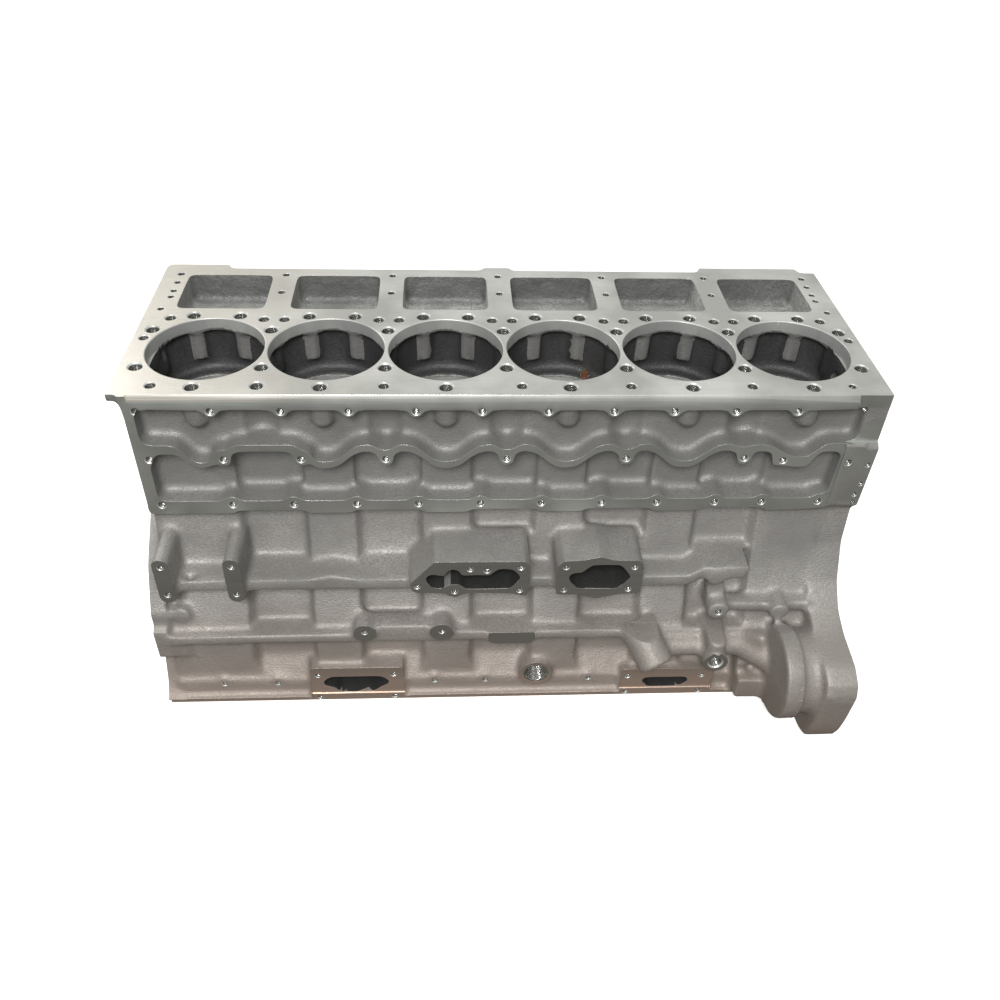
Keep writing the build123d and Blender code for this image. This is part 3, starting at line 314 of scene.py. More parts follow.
@dataclass(frozen=True)
class CastSkin:
    """Sand-cast grey iron: grainy, with soft stains and fine level streaks from the sand."""

    name: str
    light: Colour
    dark: Colour
    tints: tuple[Tint, ...]
    metallic: float = 0.36
    roughness: tuple[float, float] = (0.47, 0.62)
    swell: float = 0.002
    grain_scale: tuple[float, float, float] = (330.0, 330.0, 620.0)
    edge: float = 0.0009

    def build(self) -> bpy.types.Material:
        """Make the material."""
        graph = Graph(self.name)
        stains = graph.spread(graph.noise(11.0, 4.0), 0.35, 0.65)
        grain = graph.noise(1.0, 3.0, graph.scaled(self.grain_scale))
        colour = graph.mix(stains, self.dark, self.light)
        shade = graph.spread(grain, 0.58, 0.38, 0.0, 0.85)
        colour = graph.mix(shade, colour, self.dark)
        for tint in self.tints:
            colour = tint.over(graph, colour)
        roughness = graph.spread(graph.noise(90.0), 0.3, 0.7, *self.roughness)
        swell = graph.bump(graph.noise(55.0, 2.0), self.swell, 0.25, graph.eased_edges(self.edge))
        pitted = graph.bump(graph.noise(230.0, 3.0), 0.0010, 0.40, swell)
        normal = graph.bump(grain, 0.0012, 0.65, pitted)
        return graph.dress(colour, roughness, normal, self.metallic)


@dataclass(frozen=True)
class CutIron:
    """Machined grey iron, with the cutter's fine lines along one direction."""

    name: str
    light: Colour
    dark: Colour
    lines: tuple[float, float, float]
    roughness: tuple[float, float] = (0.26, 0.40)
    metallic: float = 0.9
    relief: float = 0.00006
    tints: tuple[Tint, ...] = ()
    smear_scale: float = 9.0
    edge: float = 0.0009

    def build(self) -> bpy.types.Material:
        """Make the material."""
        graph = Graph(self.name)
        lines = graph.noise(1.0, 3.0, graph.scaled(self.lines))
        smears = graph.noise(self.smear_scale, 4.0)
        colour = graph.mix(graph.spread(smears, 0.38, 0.62), self.dark, self.light)
        streaks = graph.spread(lines, 0.45, 0.75, 0.0, 0.5)
        colour = graph.mix(streaks, colour, self.dark)
        for tint in self.tints:
            colour = tint.over(graph, colour)
        roughness = graph.spread(lines, 0.3, 0.7, *self.roughness)
        fine = graph.bump(lines, self.relief, 0.5, graph.eased_edges(self.edge))
        normal = graph.bump(graph.noise(40.0, 2.0), 0.0002, 0.3, fine)
        return graph.dress(colour, roughness, normal, self.metallic)


@dataclass(frozen=True)
class TappedIron:
    """Wall of a threaded hole: crests that follow one another along the drill's axis, coloured light as
    painted highlights with painted shade between them.
    """

    axis: Axis
    light: Colour
    dark: Colour
    pitch: float = 0.00175
    wave_turns: float = 3.18

    def build(self) -> bpy.types.Material:
        """Make the material."""
        graph = Graph(TAPPED[self.axis].value)
        turns = graph.bands(self.axis, 1.0 / self.pitch / self.wave_turns)
        # Painted highlight and shade: the crests are coloured light and the roots between them dark.
        colour = graph.mix(turns, self.dark, self.light)
        roughness = graph.spread(graph.noise(300.0), 0.3, 0.7, 0.18, 0.32)
        normal = graph.bump(turns, 0.0009, 1.0)
        return graph.dress(colour, roughness, normal, 0.95)


@dataclass(frozen=True)
class SmallMetal:
    """Finish of a small turned, pressed or forged part."""

    name: str
    light: Colour
    dark: Colour
    roughness: tuple[float, float] = (0.28, 0.42)
    metallic: float = 0.9
    grain: float = 500.0

    def build(self) -> bpy.types.Material:
        """Make the material."""
        graph = Graph(self.name)
        stains = graph.spread(graph.noise(60.0, 4.0), 0.35, 0.65)
        colour = graph.mix(stains, self.dark, self.light)
        grain = graph.noise(self.grain, 2.0)
        roughness = graph.spread(grain, 0.3, 0.7, *self.roughness)
        normal = graph.bump(grain, 0.0002, 0.4)
        return graph.dress(colour, roughness, normal, self.metallic)


def plain_mesh(name: str, points: Points, faces: list[Points]) -> bpy.types.Mesh:
    """Make a mesh from arrays.

    Args:
        name: Name of the mesh.
        points: Corners, one row each, in metres.
        faces: Arrays of triangles or quads, one row of corner numbers each.

    Returns:
        The mesh.
    """
    mesh = bpy.data.meshes.new(name)
    rows = [row for block in faces for row in block.tolist()]
    mesh.from_pydata(points.tolist(), [], rows)
    mesh.update()
    return mesh


def new_object(name: str, mesh: bpy.types.Mesh) -> bpy.types.Object:
    """Put a mesh into the scene at the origin."""
    piece = bpy.data.objects.new(name, mesh)
    bpy.context.scene.collection.objects.link(piece)
    return piece


def baked(piece: bpy.types.Object) -> None:
    """Replace a piece's mesh with its evaluated one, and remove its modifiers.

    Args:
        piece: The piece to settle.
    """
    graph = bpy.context.evaluated_depsgraph_get()
    mesh = bpy.data.meshes.new_from_object(piece.evaluated_get(graph))
    piece.modifiers.clear()
    piece.data = mesh


def read_rows(items: bpy.types.bpy_prop_collection, name: str, kind: type = np.float32) -> np.ndarray:
    """Read three numbers of each item of a mesh.

    Args:
        items: Vertices, triangles or faces.
        name: Name of the property.
        kind: Type of the numbers.

    Returns:
        One row for each item.
    """
    flat = np.empty(len(items) * 3, kind)
    items.foreach_get(name, flat)
    return flat.reshape(-1, 3)


def merged_arrays(piece: bpy.types.Object) -> tuple[Points, np.ndarray]:
    """Read a node's mesh with its double points merged.

    Args:
        piece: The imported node.

    Returns:
        Points in millimetres and triangles.
    """
    mesh = piece.data
    mesh.calc_loop_triangles()
    steps = np.round(read_rows(mesh.vertices, "co") / MM * STEPS_IN_MM).astype(np.int64)
    unique, place = np.unique(steps, axis=0, return_inverse=True)
    triangles = place.ravel()[read_rows(mesh.loop_triangles, "vertices", np.int32)]
    a, b, c = triangles.T
    return unique / STEPS_IN_MM, triangles[(a != b) & (b != c) & (a != c)]


@dataclass(frozen=True)
class MachinedFace:
    """A plane that a cutter leaves on the casting, in millimetres.

    Attributes:
        axis: Axis that the plane lies across.
        at: Place of the plane along its axis.
        outward: 1 or -1, towards the open air.
        reach: Ranges along the other two axes, in order.
        setting: Which setting of the work cuts it.
        finish: Finish of the cut.
    """

    axis: Axis
    at: float
    outward: int
    reach: tuple[tuple[float, float], tuple[float, float]]
    setting: Setting = Setting.SIDES
    finish: Finish = Finish.FACE

    def picks(self, points: Points) -> np.ndarray:
        """Say which points lie on the plane, inside its reach.

        Args:
            points: Points in millimetres.

        Returns:
            One truth value for each point.
        """
        on = np.abs(points[:, self.axis.value] - self.at) < 0.02
        for number, (low, high) in zip(self.axis.others, self.reach):
            on &= (points[:, number] > low) & (points[:, number] < high)
        return on

    def corners(self, stock: float) -> tuple[list[float], list[float]]:
        """Give the box of metal that the cutter takes away.

        Args:
            stock: Thickness of that metal.

        Returns:
            Lowest and highest corner.
        """
        low, high = [0.0] * 3, [0.0] * 3
        for number, (start, end) in zip(self.axis.others, self.reach):
            low[number], high[number] = start, end
        ends = sorted((self.at, self.at + self.outward * stock))
        low[self.axis.value], high[self.axis.value] = ends
        return low, high


@dataclass(frozen=True)
class Hole:
    """A round hole's mouth: centre and radius in millimetres, its axis and which way is out."""

    centre: tuple[float, float, float]
    radius: float
    depth: float
    axis: Axis
    outward: int


@dataclass(frozen=True)
class Hollow:
    """A box round a cored hollow whose skin gets its own material, in millimetres; in the jacket and the
    mouths that material is painted shade.

    Attributes:
        low: Lowest corner.
        high: Highest corner.
        finish: The skin's material; the jacket's material is painted shade.
        mouth: True where only faces that look into the hollow get it.
        floor_slope: Least share of a floor's normal that points forwards.
    """

    low: tuple[float, float, float]
    high: tuple[float, float, float]
    finish: Finish = Finish.JACKET
    mouth: bool = True
    floor_slope: float = 0.7

    def picks(self, places: Points, normals: Points) -> np.ndarray:
        """Say which faces belong to the hollow.

        Args:
            places: The faces' centres in millimetres.
            normals: Their normals.

        Returns:
            One truth value for each face.
        """
        low, high = np.array(self.low), np.array(self.high)
        found = ((places > low) & (places < high)).all(axis=1)
        if self.mouth:
            inward = (normals * ((low + high) / 2 - places))[:, [0, 2]].sum(axis=1) > 0
            found &= inward | (normals[:, 1] < -self.floor_slope)
        return found


class CutterSet:
    """Closed cutters that don't meet one another, taken away from the casting in one go."""

    def __init__(self, name: str) -> None:
        """Start an empty set.

        Args:
            name: Name of the set.
        """
        self.name = name
        self.points: list[tuple[float, ...]] = []
        self.faces: list[tuple[int, ...]] = []
        self.left: list[Finish] = []

    def add(self, points: list[tuple[float, ...]], faces: list[tuple[int, ...]], finish: Finish) -> None:
        """Add one cutter.

        Args:
            points: Its corners in millimetres.
            faces: Its faces, pointing outwards.
            finish: Finish that it leaves.
        """
        start = len(self.points)
        self.points += points
        self.faces += [tuple(start + n for n in face) for face in faces]
        self.left += [finish] * len(faces)

    def box(self, low: list[float], high: list[float], finish: Finish) -> None:
        """Add a box between two corners."""
        xs, ys, zs = zip(low, high)
        points = [(x, y, z) for x in xs for y in ys for z in zs]
        faces = [(0, 1, 3, 2), (4, 6, 7, 5), (0, 4, 5, 1), (2, 3, 7, 6), (0, 2, 6, 4), (1, 5, 7, 3)]
        self.add(points, faces, finish)

    def prism(self, outline: list[tuple[float, float]], start: float, end: float, finish: Finish) -> None:
        """Add a prism along X.

        Args:
            outline: Points (y, z), anticlockwise as seen from +X.
            start: Its first end.
            end: Its last end.
            finish: Finish that it leaves.
        """
        count = len(outline)
        points = [(x, y, z) for x in (start, end) for y, z in outline]
        faces = [tuple(reversed(range(count))), tuple(range(count, 2 * count))]
        faces += [(n, (n + 1) % count, count + (n + 1) % count, count + n) for n in range(count)]
        self.add(points, faces, finish)

    def turned(
        self,
        profile: list[tuple[float, float]],
        centre: tuple[float, float, float],
        direction: Vector,
        finish: Finish,
        segments: int = 128,
    ) -> None:
        """Add a turned cutter.

        Args:
            profile: Points (radius, height), the height rising; both ends lie on the axis.
            centre: Where height is nought.
            direction: Which way the height rises.
            finish: Finish that it leaves.
            segments: Faces round its axis.
        """
        turn = direction.to_track_quat("Z", "Y").to_matrix()
        rings = profile[1:-1]
        local = [Vector((0.0, 0.0, profile[0][1]))]
        for radius, height in rings:
            for n in range(segments):
                angle = math.tau * n / segments
                local.append(Vector((radius * math.cos(angle), radius * math.sin(angle), height)))
        local.append(Vector((0.0, 0.0, profile[-1][1])))
        points = [tuple(turn @ p + Vector(centre)) for p in local]
        last = len(points) - 1
        faces: list[tuple[int, ...]] = []
        for n in range(segments):
            after = (n + 1) % segments
            faces.append((0, 1 + after, 1 + n))
            for ring in range(len(rings) - 1):
                a = 1 + ring * segments
                b = a + segments
                faces.append((a + n, a + after, b + after, b + n))
            top = 1 + (len(rings) - 1) * segments
            faces.append((top + n, top + after, last))
        self.add(points, faces, finish)

    def cut(self, piece: bpy.types.Object, finishes: Finishes) -> None:
        """Take the set away from a piece.

        Args:
            piece: The piece.
            finishes: Material of each finish.
        """
        mesh = bpy.data.meshes.new(self.name)
        mesh.from_pydata([tuple(n * MM for n in p) for p in self.points], [], self.faces)
        used = list(dict.fromkeys(self.left))
        for finish in used:
            mesh.materials.append(finishes[finish])
        mesh.polygons.foreach_set("material_index", [used.index(finish) for finish in self.left])
        take_away(piece, new_object(self.name, mesh))


def split_wide_faces(mesh: bpy.types.Mesh) -> None:
    """Cut faces of many corners into triangles.

    Args:
        mesh: The mesh to change.
    """
    form = bmesh.new()
    form.from_mesh(mesh)
    wide = [face for face in form.faces if len(face.verts) > 4]
    bmesh.ops.triangulate(form, faces=wide, quad_method="BEAUTY", ngon_method="BEAUTY")
    form.to_mesh(mesh)
    form.free()


def take_away(piece: bpy.types.Object, cutter: bpy.types.Object) -> None:
    """Cut one object out of another, and delete the cutter.

    Args:
        piece: The piece that is cut.
        cutter: Closed cutter whose materials the cut faces keep.
    """
    before = len(piece.data.polygons)
    name = cutter.name
    change = piece.modifiers.new("cut", "BOOLEAN")
    change.operation = "DIFFERENCE"
    change.solver = "MANIFOLD"
    change.material_mode = "TRANSFER"
    change.object = cutter
    baked(piece)
    split_wide_faces(piece.data)
    bpy.data.objects.remove(cutter)
    LOG.info("%s: %d faces, then %d", name, before, len(piece.data.polygons))


FRONT_SEATS = {
    "left_housing": (-165.0, (-124.0, 34.0), (206.0, 285.0)),
    "right_housing": (-165.0, (67.0, 184.0), (200.0, 290.0)),
    "left_low_cover": (-168.0, (-269.0, -136.0), (13.9, 70.0)),
    "right_low_cover": (-168.0, (176.0, 311.0), (13.9, 57.0)),
    "left_bracket_pad": (-165.0, (-450.0, -420.0), (200.0, 285.0)),
    "right_bracket_pad": (-165.0, (-362.0, -334.0), (200.0, 285.0)),
    "left_rib_boss": (-168.0, (-203.0, -171.0), (126.0, 160.0)),
    "right_rib_boss": (-168.0, (-98.0, -66.0), (126.0, 160.0)),
    "rib_pad": (-166.5, (-18.0, 46.0), (112.0, 141.0)),
    "drain_boss": (-170.0, (26.0, 78.0), (27.0, 79.0)),
    "pump_boss": (-198.0, (280.0, 317.0), (86.0, 123.0)),
}


@dataclass
class Casting:
    """The block casting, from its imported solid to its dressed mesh. Sizes in millimetres."""

    node: str = "block_casting"
    # The casting's planes, and where their cutters reach.
    deck_z: float = 490.0
    half_length: float = 470.0
    across: tuple[float, float] = (-290.0, 260.0)
    upright: tuple[float, float] = (-20.0, 510.0)
    manifold_y: float = -108.0
    manifold_z: tuple[float, float] = (300.0, 500.0)
    rail_y: float = -169.0
    rail_end: float = 379.0
    rail_top: float = 14.1
    ear_y: float = -104.0
    ear_z: tuple[float, float] = (419.5, 500.0)
    mount_y: float = 224.0
    mount_z: tuple[float, float] = (250.0, 350.0)
    mount_pads: tuple[tuple[float, float], ...] = ((-280.0, -170.0), (170.0, 280.0))
    stock: float = 8.0
    overrun: float = 6.0
    # The cast skin's rounding.
    voxel: float = 2.0
    solid_cells: int = 2
    skin_cells: int = 3
    inner_radius: float = 6.0
    outer_radius: float = 2.2
    simplify: float = 0.06
    most_triangles: int = 150000
    # Boring bars: cylinders, main bearings and camshaft tunnel.
    bore_count: int = 6
    bore_pitch: float = 150.0
    collar_radius: float = 72.5
    collar_foot: float = 470.0
    seat_radius: float = 67.0
    seat_top: float = 408.0
    seat_foot: float = 252.0
    seat_lead: tuple[float, float, float] = (2.0, 6.0, 4.0)
    mouth_chamfer: float = 1.0
    clearance: float = 0.1
    run_out: float = 2.0
    crank_z: float = 98.0
    main_radius: float = 56.0
    cap_half_width: float = 85.0
    cap_box_foot: float = -9.0
    cam_y: float = 150.0
    cam_z: float = 258.0
    cam_radius: float = 30.0
    # Cored hollows whose skin gets its own material, painted shade in the jacket and the mouths, and the
    # columns between them, which keep the cast colour.
    hollows: tuple[Hollow, ...] = (
        Hollow((-446.0, -68.0, 406.0), (446.0, 86.0, 472.0), Finish.JACKET, mouth=False),
        Hollow((-446.0, 96.0, 400.0), (446.0, 196.0, 496.0), Finish.CHAMBER, mouth=False),
        Hollow((-106.0, -163.0, 221.0), (25.0, -98.0, 262.0)),
        Hollow((81.0, -163.0, 219.0), (170.0, -98.0, 267.0)),
        Hollow((-260.0, -166.0, 14.0), (-149.0, -90.0, 52.0)),
        Hollow((185.0, -166.0, 14.0), (298.0, -90.0, 39.0)))
    column_side: float = 30.0
    column_half: float = 9.0
    column_foot: float = 427.0
    column_y: tuple[float, float] = (60.0, 90.0)
    # Edges: the deck's chamfer, stub, drain, right flange and end slots.
    chamfer: float = 8.0
    chamfer_half: float = 447.0
    chamfer_air: float = 3.0
    hair: float = 0.01
    stub_top_low: tuple[float, float, float] = (160.0, -215.0, 137.5)
    stub_top_high: tuple[float, float, float] = (227.0, -151.0, 170.0)
    drain: tuple[float, float, float] = (52.0, -170.0, 53.0)
    drain_radius: float = 16.0
    drain_depth: float = 30.0
    drain_lead: float = 1.5
    drain_segments: int = 48
    flange_x: float = 428.0
    flange_gap: float = 0.2
    flange_air: float = 1.0
    flange_front: tuple[tuple[float, float], tuple[float, float]] = ((-110.0, 318.0), (-113.0, 419.0))
    skim: float = 0.3
    slot_reach: tuple[float, float] = (407.0, 431.0)
    slot_y: tuple[float, float] = (-86.0, -70.0)
    slot_z: tuple[float, float] = (462.5, 469.5)
    # Small holes: how they are found, and those that no flat face shows.
    largest_drill: float = 10.0
    flat_cosine: float = 0.9999
    fewest_corners: int = 8
    out_of_round: float = 0.02
    shallowest: float = 2.0
    deepest: float = 80.0
    wall_slack: float = 0.05
    mouth_slack: float = 0.5
    extra_holes: tuple[tuple[float, float, float, float], ...] = (
        (464.0, -112.0, 387.0, 3.4), (464.0, -111.0, 355.0, 3.4), (461.0, -110.5, 336.0, 3.4),
        (463.0, -110.0, 322.0, 3.4), (439.0, -108.0, 468.0, 4.5), (437.0, -112.2, 391.0, 4.5),
        (-439.0, -108.0, 468.0, 4.5), (-437.0, -108.0, 396.0, 4.5))
    extra_depth: float = 14.0
    sharp_angle: float = 34.0
    faces: list[MachinedFace] = field(default_factory=list)

    def __post_init__(self) -> None:
        """List the machined faces."""
        end = self.half_length + self.stock + self.overrun
        whole, face = (-end, end), MachinedFace
        rail = ((-end, self.rail_end), (self.upright[0], self.rail_top))
        ear = ((self.flange_x + self.skim, end), self.ear_z)
        self.faces = [
            face(Axis.Z, self.deck_z, 1, (whole, self.across), Setting.LEVEL, Finish.DECK),
            face(Axis.Z, 0.0, -1, (whole, self.across), Setting.LEVEL),
            face(Axis.X, self.half_length, 1, (self.across, self.upright), Setting.ENDS),
            face(Axis.X, -self.half_length, -1, (self.across, self.upright), Setting.ENDS),
            face(Axis.Y, self.rail_y, -1, rail, Setting.STEPS),
            face(Axis.Y, self.ear_y, -1, ear, Setting.STEPS),
            face(Axis.Y, self.manifold_y, -1, ((-end, self.flange_x), self.manifold_z)),
        ]
        self.faces += [face(Axis.Y, y, -1, (along, upwards)) for y, along, upwards in FRONT_SEATS.values()]
        for low, high in self.mount_pads:
            self.faces.append(face(Axis.Y, self.mount_y, 1, ((low, high), self.mount_z)))

    def grown(self, points: Points) -> Points:
        """Add stock to every machined face.

        Args:
            points: The solid's points in millimetres.

        Returns:
            The points with those on machined faces moved outwards.
        """
        result = points.copy()
        for face in self.faces:
            result[face.picks(points), face.axis.value] += face.outward * self.stock
        return result

    def rounded(self, points: Points, triangles: np.ndarray) -> bpy.types.Mesh:
        """Fill the inner corners and ease the outer ones, as sand and pattern leave them.

        Args:
            points: Points in millimetres.
            triangles: Triangles.

        Returns:
            The rounded mesh, in metres.
        """
        grid_step = openvdb.createLinearTransform(voxelSize=self.voxel)
        solid = openvdb.FloatGrid.createLevelSetFromPolygons(
            points, triangles=triangles.astype(np.uint32), transform=grid_step,
            halfWidth=self.inner_radius / self.voxel + self.solid_cells,
        )
        for offset, reach in (
            (self.inner_radius, self.inner_radius + self.outer_radius),
            (-self.inner_radius - self.outer_radius, self.outer_radius),
        ):
            skin, _, quads = solid.convertToPolygons(isovalue=offset, adaptivity=0)
            solid = openvdb.FloatGrid.createLevelSetFromPolygons(
                skin, quads=quads, transform=grid_step, halfWidth=reach / self.voxel + self.skin_cells,
            )
        skin, triangles, quads = solid.convertToPolygons(
            isovalue=self.outer_radius, adaptivity=self.simplify,
        )
        return plain_mesh(self.node, skin * MM, [triangles[:, ::-1], quads[:, ::-1]])

    def holes(self, points: Points, triangles: np.ndarray) -> list[Hole]:
        """Find the round holes that open on flat faces square to an axis.

        Args:
            points: Points in millimetres.
            triangles: Triangles.

        Returns:
            The holes.
        """
        found: list[Hole] = []
        corners = points[triangles]
        normals = np.cross(corners[:, 1] - corners[:, 0], corners[:, 2] - corners[:, 0])
        lengths = np.linalg.norm(normals, axis=1)
        normals = normals / np.maximum(lengths, 1e-9)[:, None]
        for axis in Axis:
            for outward in (-1, 1):
                flat = normals[:, axis.value] * outward > self.flat_cosine
                levels = np.round(corners[flat][:, 0, axis.value], 2)
                for level in np.unique(levels):
                    rows = triangles[flat][levels == level]
                    found += self.mouths(points, rows, axis, outward, float(level))
        return found

    def mouths(
        self, points: Points, rows: np.ndarray, axis: Axis, outward: int, level: float
    ) -> list[Hole]:
        """Find round mouths in one flat face.

        Args:
            points: All points.
            rows: Triangles of the face.
            axis: Axis across the face.
            outward: Which way is out.
            level: Place of the face along its axis.

        Returns:
            The holes that open there.
        """
        edges = {(int(t[n]), int(t[(n + 1) % 3])) for t in rows for n in range(3)}
        after = {a: b for a, b in edges if (b, a) not in edges}
        found: list[Hole] = []
        plane = axis.others
        while after:
            start, here = after.popitem()
            loop = [start]
            while here != start and here in after:
                loop.append(here)
                here = after.pop(here)
            ring = points[loop][:, plane]
            if here != start or len(loop) < self.fewest_corners:
                continue
            centre = (ring.max(0) + ring.min(0)) / 2
            radii = np.linalg.norm(ring - centre, axis=1)
            across = ring - centre
            ahead = np.roll(across, -1, axis=0)
            area = (across[:, 0] * ahead[:, 1] - across[:, 1] * ahead[:, 0]).sum() / 2
            turn = -1 if axis is Axis.Y else 1
            if area * outward * turn > 0 or np.ptp(radii) > self.out_of_round * radii.mean():
                continue
            radius = float(radii.mean())
            place = np.insert(centre, axis.value, level)
            depth = self.depth_below(points, place, radius, axis, outward)
            if depth > self.shallowest:
                found.append(Hole(tuple(float(n) for n in place), radius, depth, axis, outward))
        return found

    def depth_below(
        self, points: Points, place: np.ndarray, radius: float, axis: Axis, outward: int
    ) -> float:
        """Measure how deep a hole's straight wall goes.

        Args:
            points: All points.
            place: Centre of its mouth.
            radius: Its radius.
            axis: Its axis.
            outward: Which way is out.

        Returns:
            Its depth in millimetres.
        """
        plane = axis.others
        away = np.linalg.norm(points[:, plane] - place[plane], axis=1)
        wall = points[np.abs(away - radius) < self.wall_slack][:, axis.value]
        depths = (place[axis.value] - wall) * outward
        depths = depths[(depths > self.mouth_slack) & (depths < self.deepest)]
        return float(depths.max()) if len(depths) else 0.0

    def face_cutters(self) -> list[CutterSet]:
        """Make the cutters of the machined faces, one set for each setting of the work."""
        sets = {setting: CutterSet(f"faces_{setting.value}") for setting in Setting}
        for face in self.faces:
            sets[face.setting].box(*face.corners(self.stock + self.overrun), face.finish)
        return list(sets.values())

    def bore_centres(self) -> list[float]:
        """Give the bores' places along X."""
        middle = (self.bore_count - 1) / 2
        return [(number - middle) * self.bore_pitch for number in range(self.bore_count)]

    def bore_cutters(self) -> list[CutterSet]:
        """Make the boring bars' cutters: cylinders, camshaft tunnel and cap seats, then the bearings."""
        bores, mains = CutterSet("bores"), CutterSet("main_bearings")
        up, along = Vector((0, 0, 1)), Vector((1, 0, 0))
        depth = self.deck_z - self.collar_foot
        drop = self.seat_top - self.seat_foot
        lead = self.mouth_chamfer
        inset, flare, rise = self.seat_lead
        for x in self.bore_centres():
            radius = self.collar_radius + self.clearance
            bores.turned(
                [(0, -depth), (radius, -depth), (radius, -lead), (radius + 2 * lead, lead), (0, lead)],
                (x, 0, self.deck_z), up, Finish.BORE)
            radius = self.seat_radius + self.clearance
            bores.turned(
                [(0, -drop), (radius, -drop), (radius, -inset), (radius + flare, rise), (0, rise)],
                (x, 0, self.seat_top), up, Finish.BORE)
        reach = self.half_length + self.run_out
        half = self.cap_half_width
        bores.box([-reach, -half, self.cap_box_foot], [reach, half, self.crank_z], Finish.FACE)
        for cutters, radius, y, z in ((mains, self.main_radius, 0, self.crank_z),
                                      (bores, self.cam_radius, self.cam_y, self.cam_z)):
            profile = [(0, -reach), (radius, -reach), (radius, reach), (0, reach)]
            cutters.turned(profile, (0, y, z), along, Finish.BORE)
        return [bores, mains]

    def edge_cutters(self) -> CutterSet:
        """Make the cutters of the deck's chamfer, the flange's front, the drain, stub and end slots."""
        cutters = CutterSet("edges")
        radius, depth, lead = self.drain_radius, self.drain_depth, self.drain_lead
        cutters.turned(
            [(0, -depth), (radius, -depth), (radius, -lead), (radius + 2 * lead, lead), (0, lead)],
            self.drain, Vector((0, -1, 0)), Finish.TAPPED_Y, self.drain_segments)
        cutters.box(self.stub_top_low, self.stub_top_high, Finish.CAST)
        front, top, air = self.manifold_y, self.deck_z, self.chamfer_air
        foot = top - self.chamfer
        cutters.prism(
            [(front - air, foot - 2 * air), (front - self.hair, foot), (front + self.chamfer / 2, top),
             (front + 2 * air, top + self.chamfer / 2), (front - air, top + self.chamfer / 2)],
            -self.chamfer_half, self.chamfer_half, Finish.DECK)
        (low_y, low_z), (high_y, high_z) = self.flange_front
        skim, outside = self.skim, high_y - self.chamfer / 2
        cutters.prism(
            [(outside, low_z), (low_y + skim, low_z), (high_y + skim, high_z), (outside, high_z)],
            self.flange_x + self.flange_gap, self.half_length + self.flange_air, Finish.FACE)
        start, end = self.slot_reach
        for x in (-end, start):
            low = [x, self.slot_y[0], self.slot_z[0]]
            high = [x + end - start, self.slot_y[1], self.slot_z[1]]
            cutters.box(low, high, Finish.CAST)
        return cutters

    def drills(self, holes: list[Hole], piece: bpy.types.Object, finishes: Finishes) -> None:
        """Drill and countersink the small holes.

        Args:
            holes: Every hole found.
            piece: The casting.
            finishes: Material of each finish.
        """
        small = [hole for hole in holes if hole.radius <= self.largest_drill]
        for x, y, z, radius in self.extra_holes:
            found = [hole.centre for hole in small if hole.axis is Axis.Y]
            if min(math.dist((x, z), (centre[0], centre[2])) for centre in found) > radius:
                small.append(Hole((x, y, z), radius, self.extra_depth, Axis.Y, -1))
        LOG.info("%d small holes, %d found", len(small), len(holes))
        pattern = HolePattern()
        for axis in Axis:
            along = [hole for hole in small if hole.axis is axis]
            take_away(piece, pattern.build(Tool.DRILL, along, finishes[TAPPED[axis]]))
        take_away(piece, pattern.build(Tool.COUNTERSINK, small, finishes[Finish.BORE]))

    def wash(self, piece: bpy.types.Object) -> None:
        """Give the hollows' skins their materials: painted shade in the jacket and the mouths of the
        housings and covers, and the chamber's own material in the chamber.

        Args:
            piece: The rounded casting.
        """
        faces = piece.data.polygons
        places, normals = read_rows(faces, "center") / MM, read_rows(faces, "normal")
        slots = np.zeros(len(faces), np.int32)
        for hollow in self.hollows:
            slots[hollow.picks(places, normals)] = SKINS.index(hollow.finish)
        x, y, z = places.T
        front, back = self.column_y
        columns = (y > front) & (y < back) & (z > self.column_foot) & (z < self.deck_z)
        # The column fingers keep the cast skin's colour, so that the jacket's painted shade between them
        # stands for the openings.
        for centre in self.bore_centres():
            beside = np.abs(np.abs(x - centre) - self.column_side) < self.column_half
            slots[columns & beside] = SKINS.index(Finish.CAST)
        faces.foreach_set("material_index", slots)

    def build(self) -> bpy.types.Object:
        """Make the casting.

        Returns:
            The dressed casting.
        """
        points, triangles = merged_arrays(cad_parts[self.node])
        holes = self.holes(points, triangles)
        mesh = self.rounded(self.grown(points), triangles)
        mesh.name = "casting"
        piece = new_object("casting", mesh)
        LOG.info("rounded skin: %d faces", len(mesh.polygons))
        self.thin(piece)
        finishes = casting_finishes()
        for finish in SKINS:
            piece.data.materials.append(finishes[finish])
        self.wash(piece)
        for cutters in self.face_cutters() + self.bore_cutters() + [self.edge_cutters()]:
            cutters.cut(piece, finishes)
        self.drills(holes, piece, finishes)
        piece.data.polygons.foreach_set("use_smooth", [True] * len(piece.data.polygons))
        piece.data.set_sharp_from_angle(angle=math.radians(self.sharp_angle))
        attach(piece, ROOT)
        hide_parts(self.node)
        return piece

    def thin(self, piece: bpy.types.Object) -> None:
        """Leave out triangles that the form doesn't need.

        Args:
            piece: The rounded casting.
        """
        count = sum(len(face.vertices) - 2 for face in piece.data.polygons)
        if count > self.most_triangles:
            change = piece.modifiers.new("thin", "DECIMATE")
            change.ratio = self.most_triangles / count
            baked(piece)
        LOG.info("thinned from %d triangles to %d faces", count, len(piece.data.polygons))


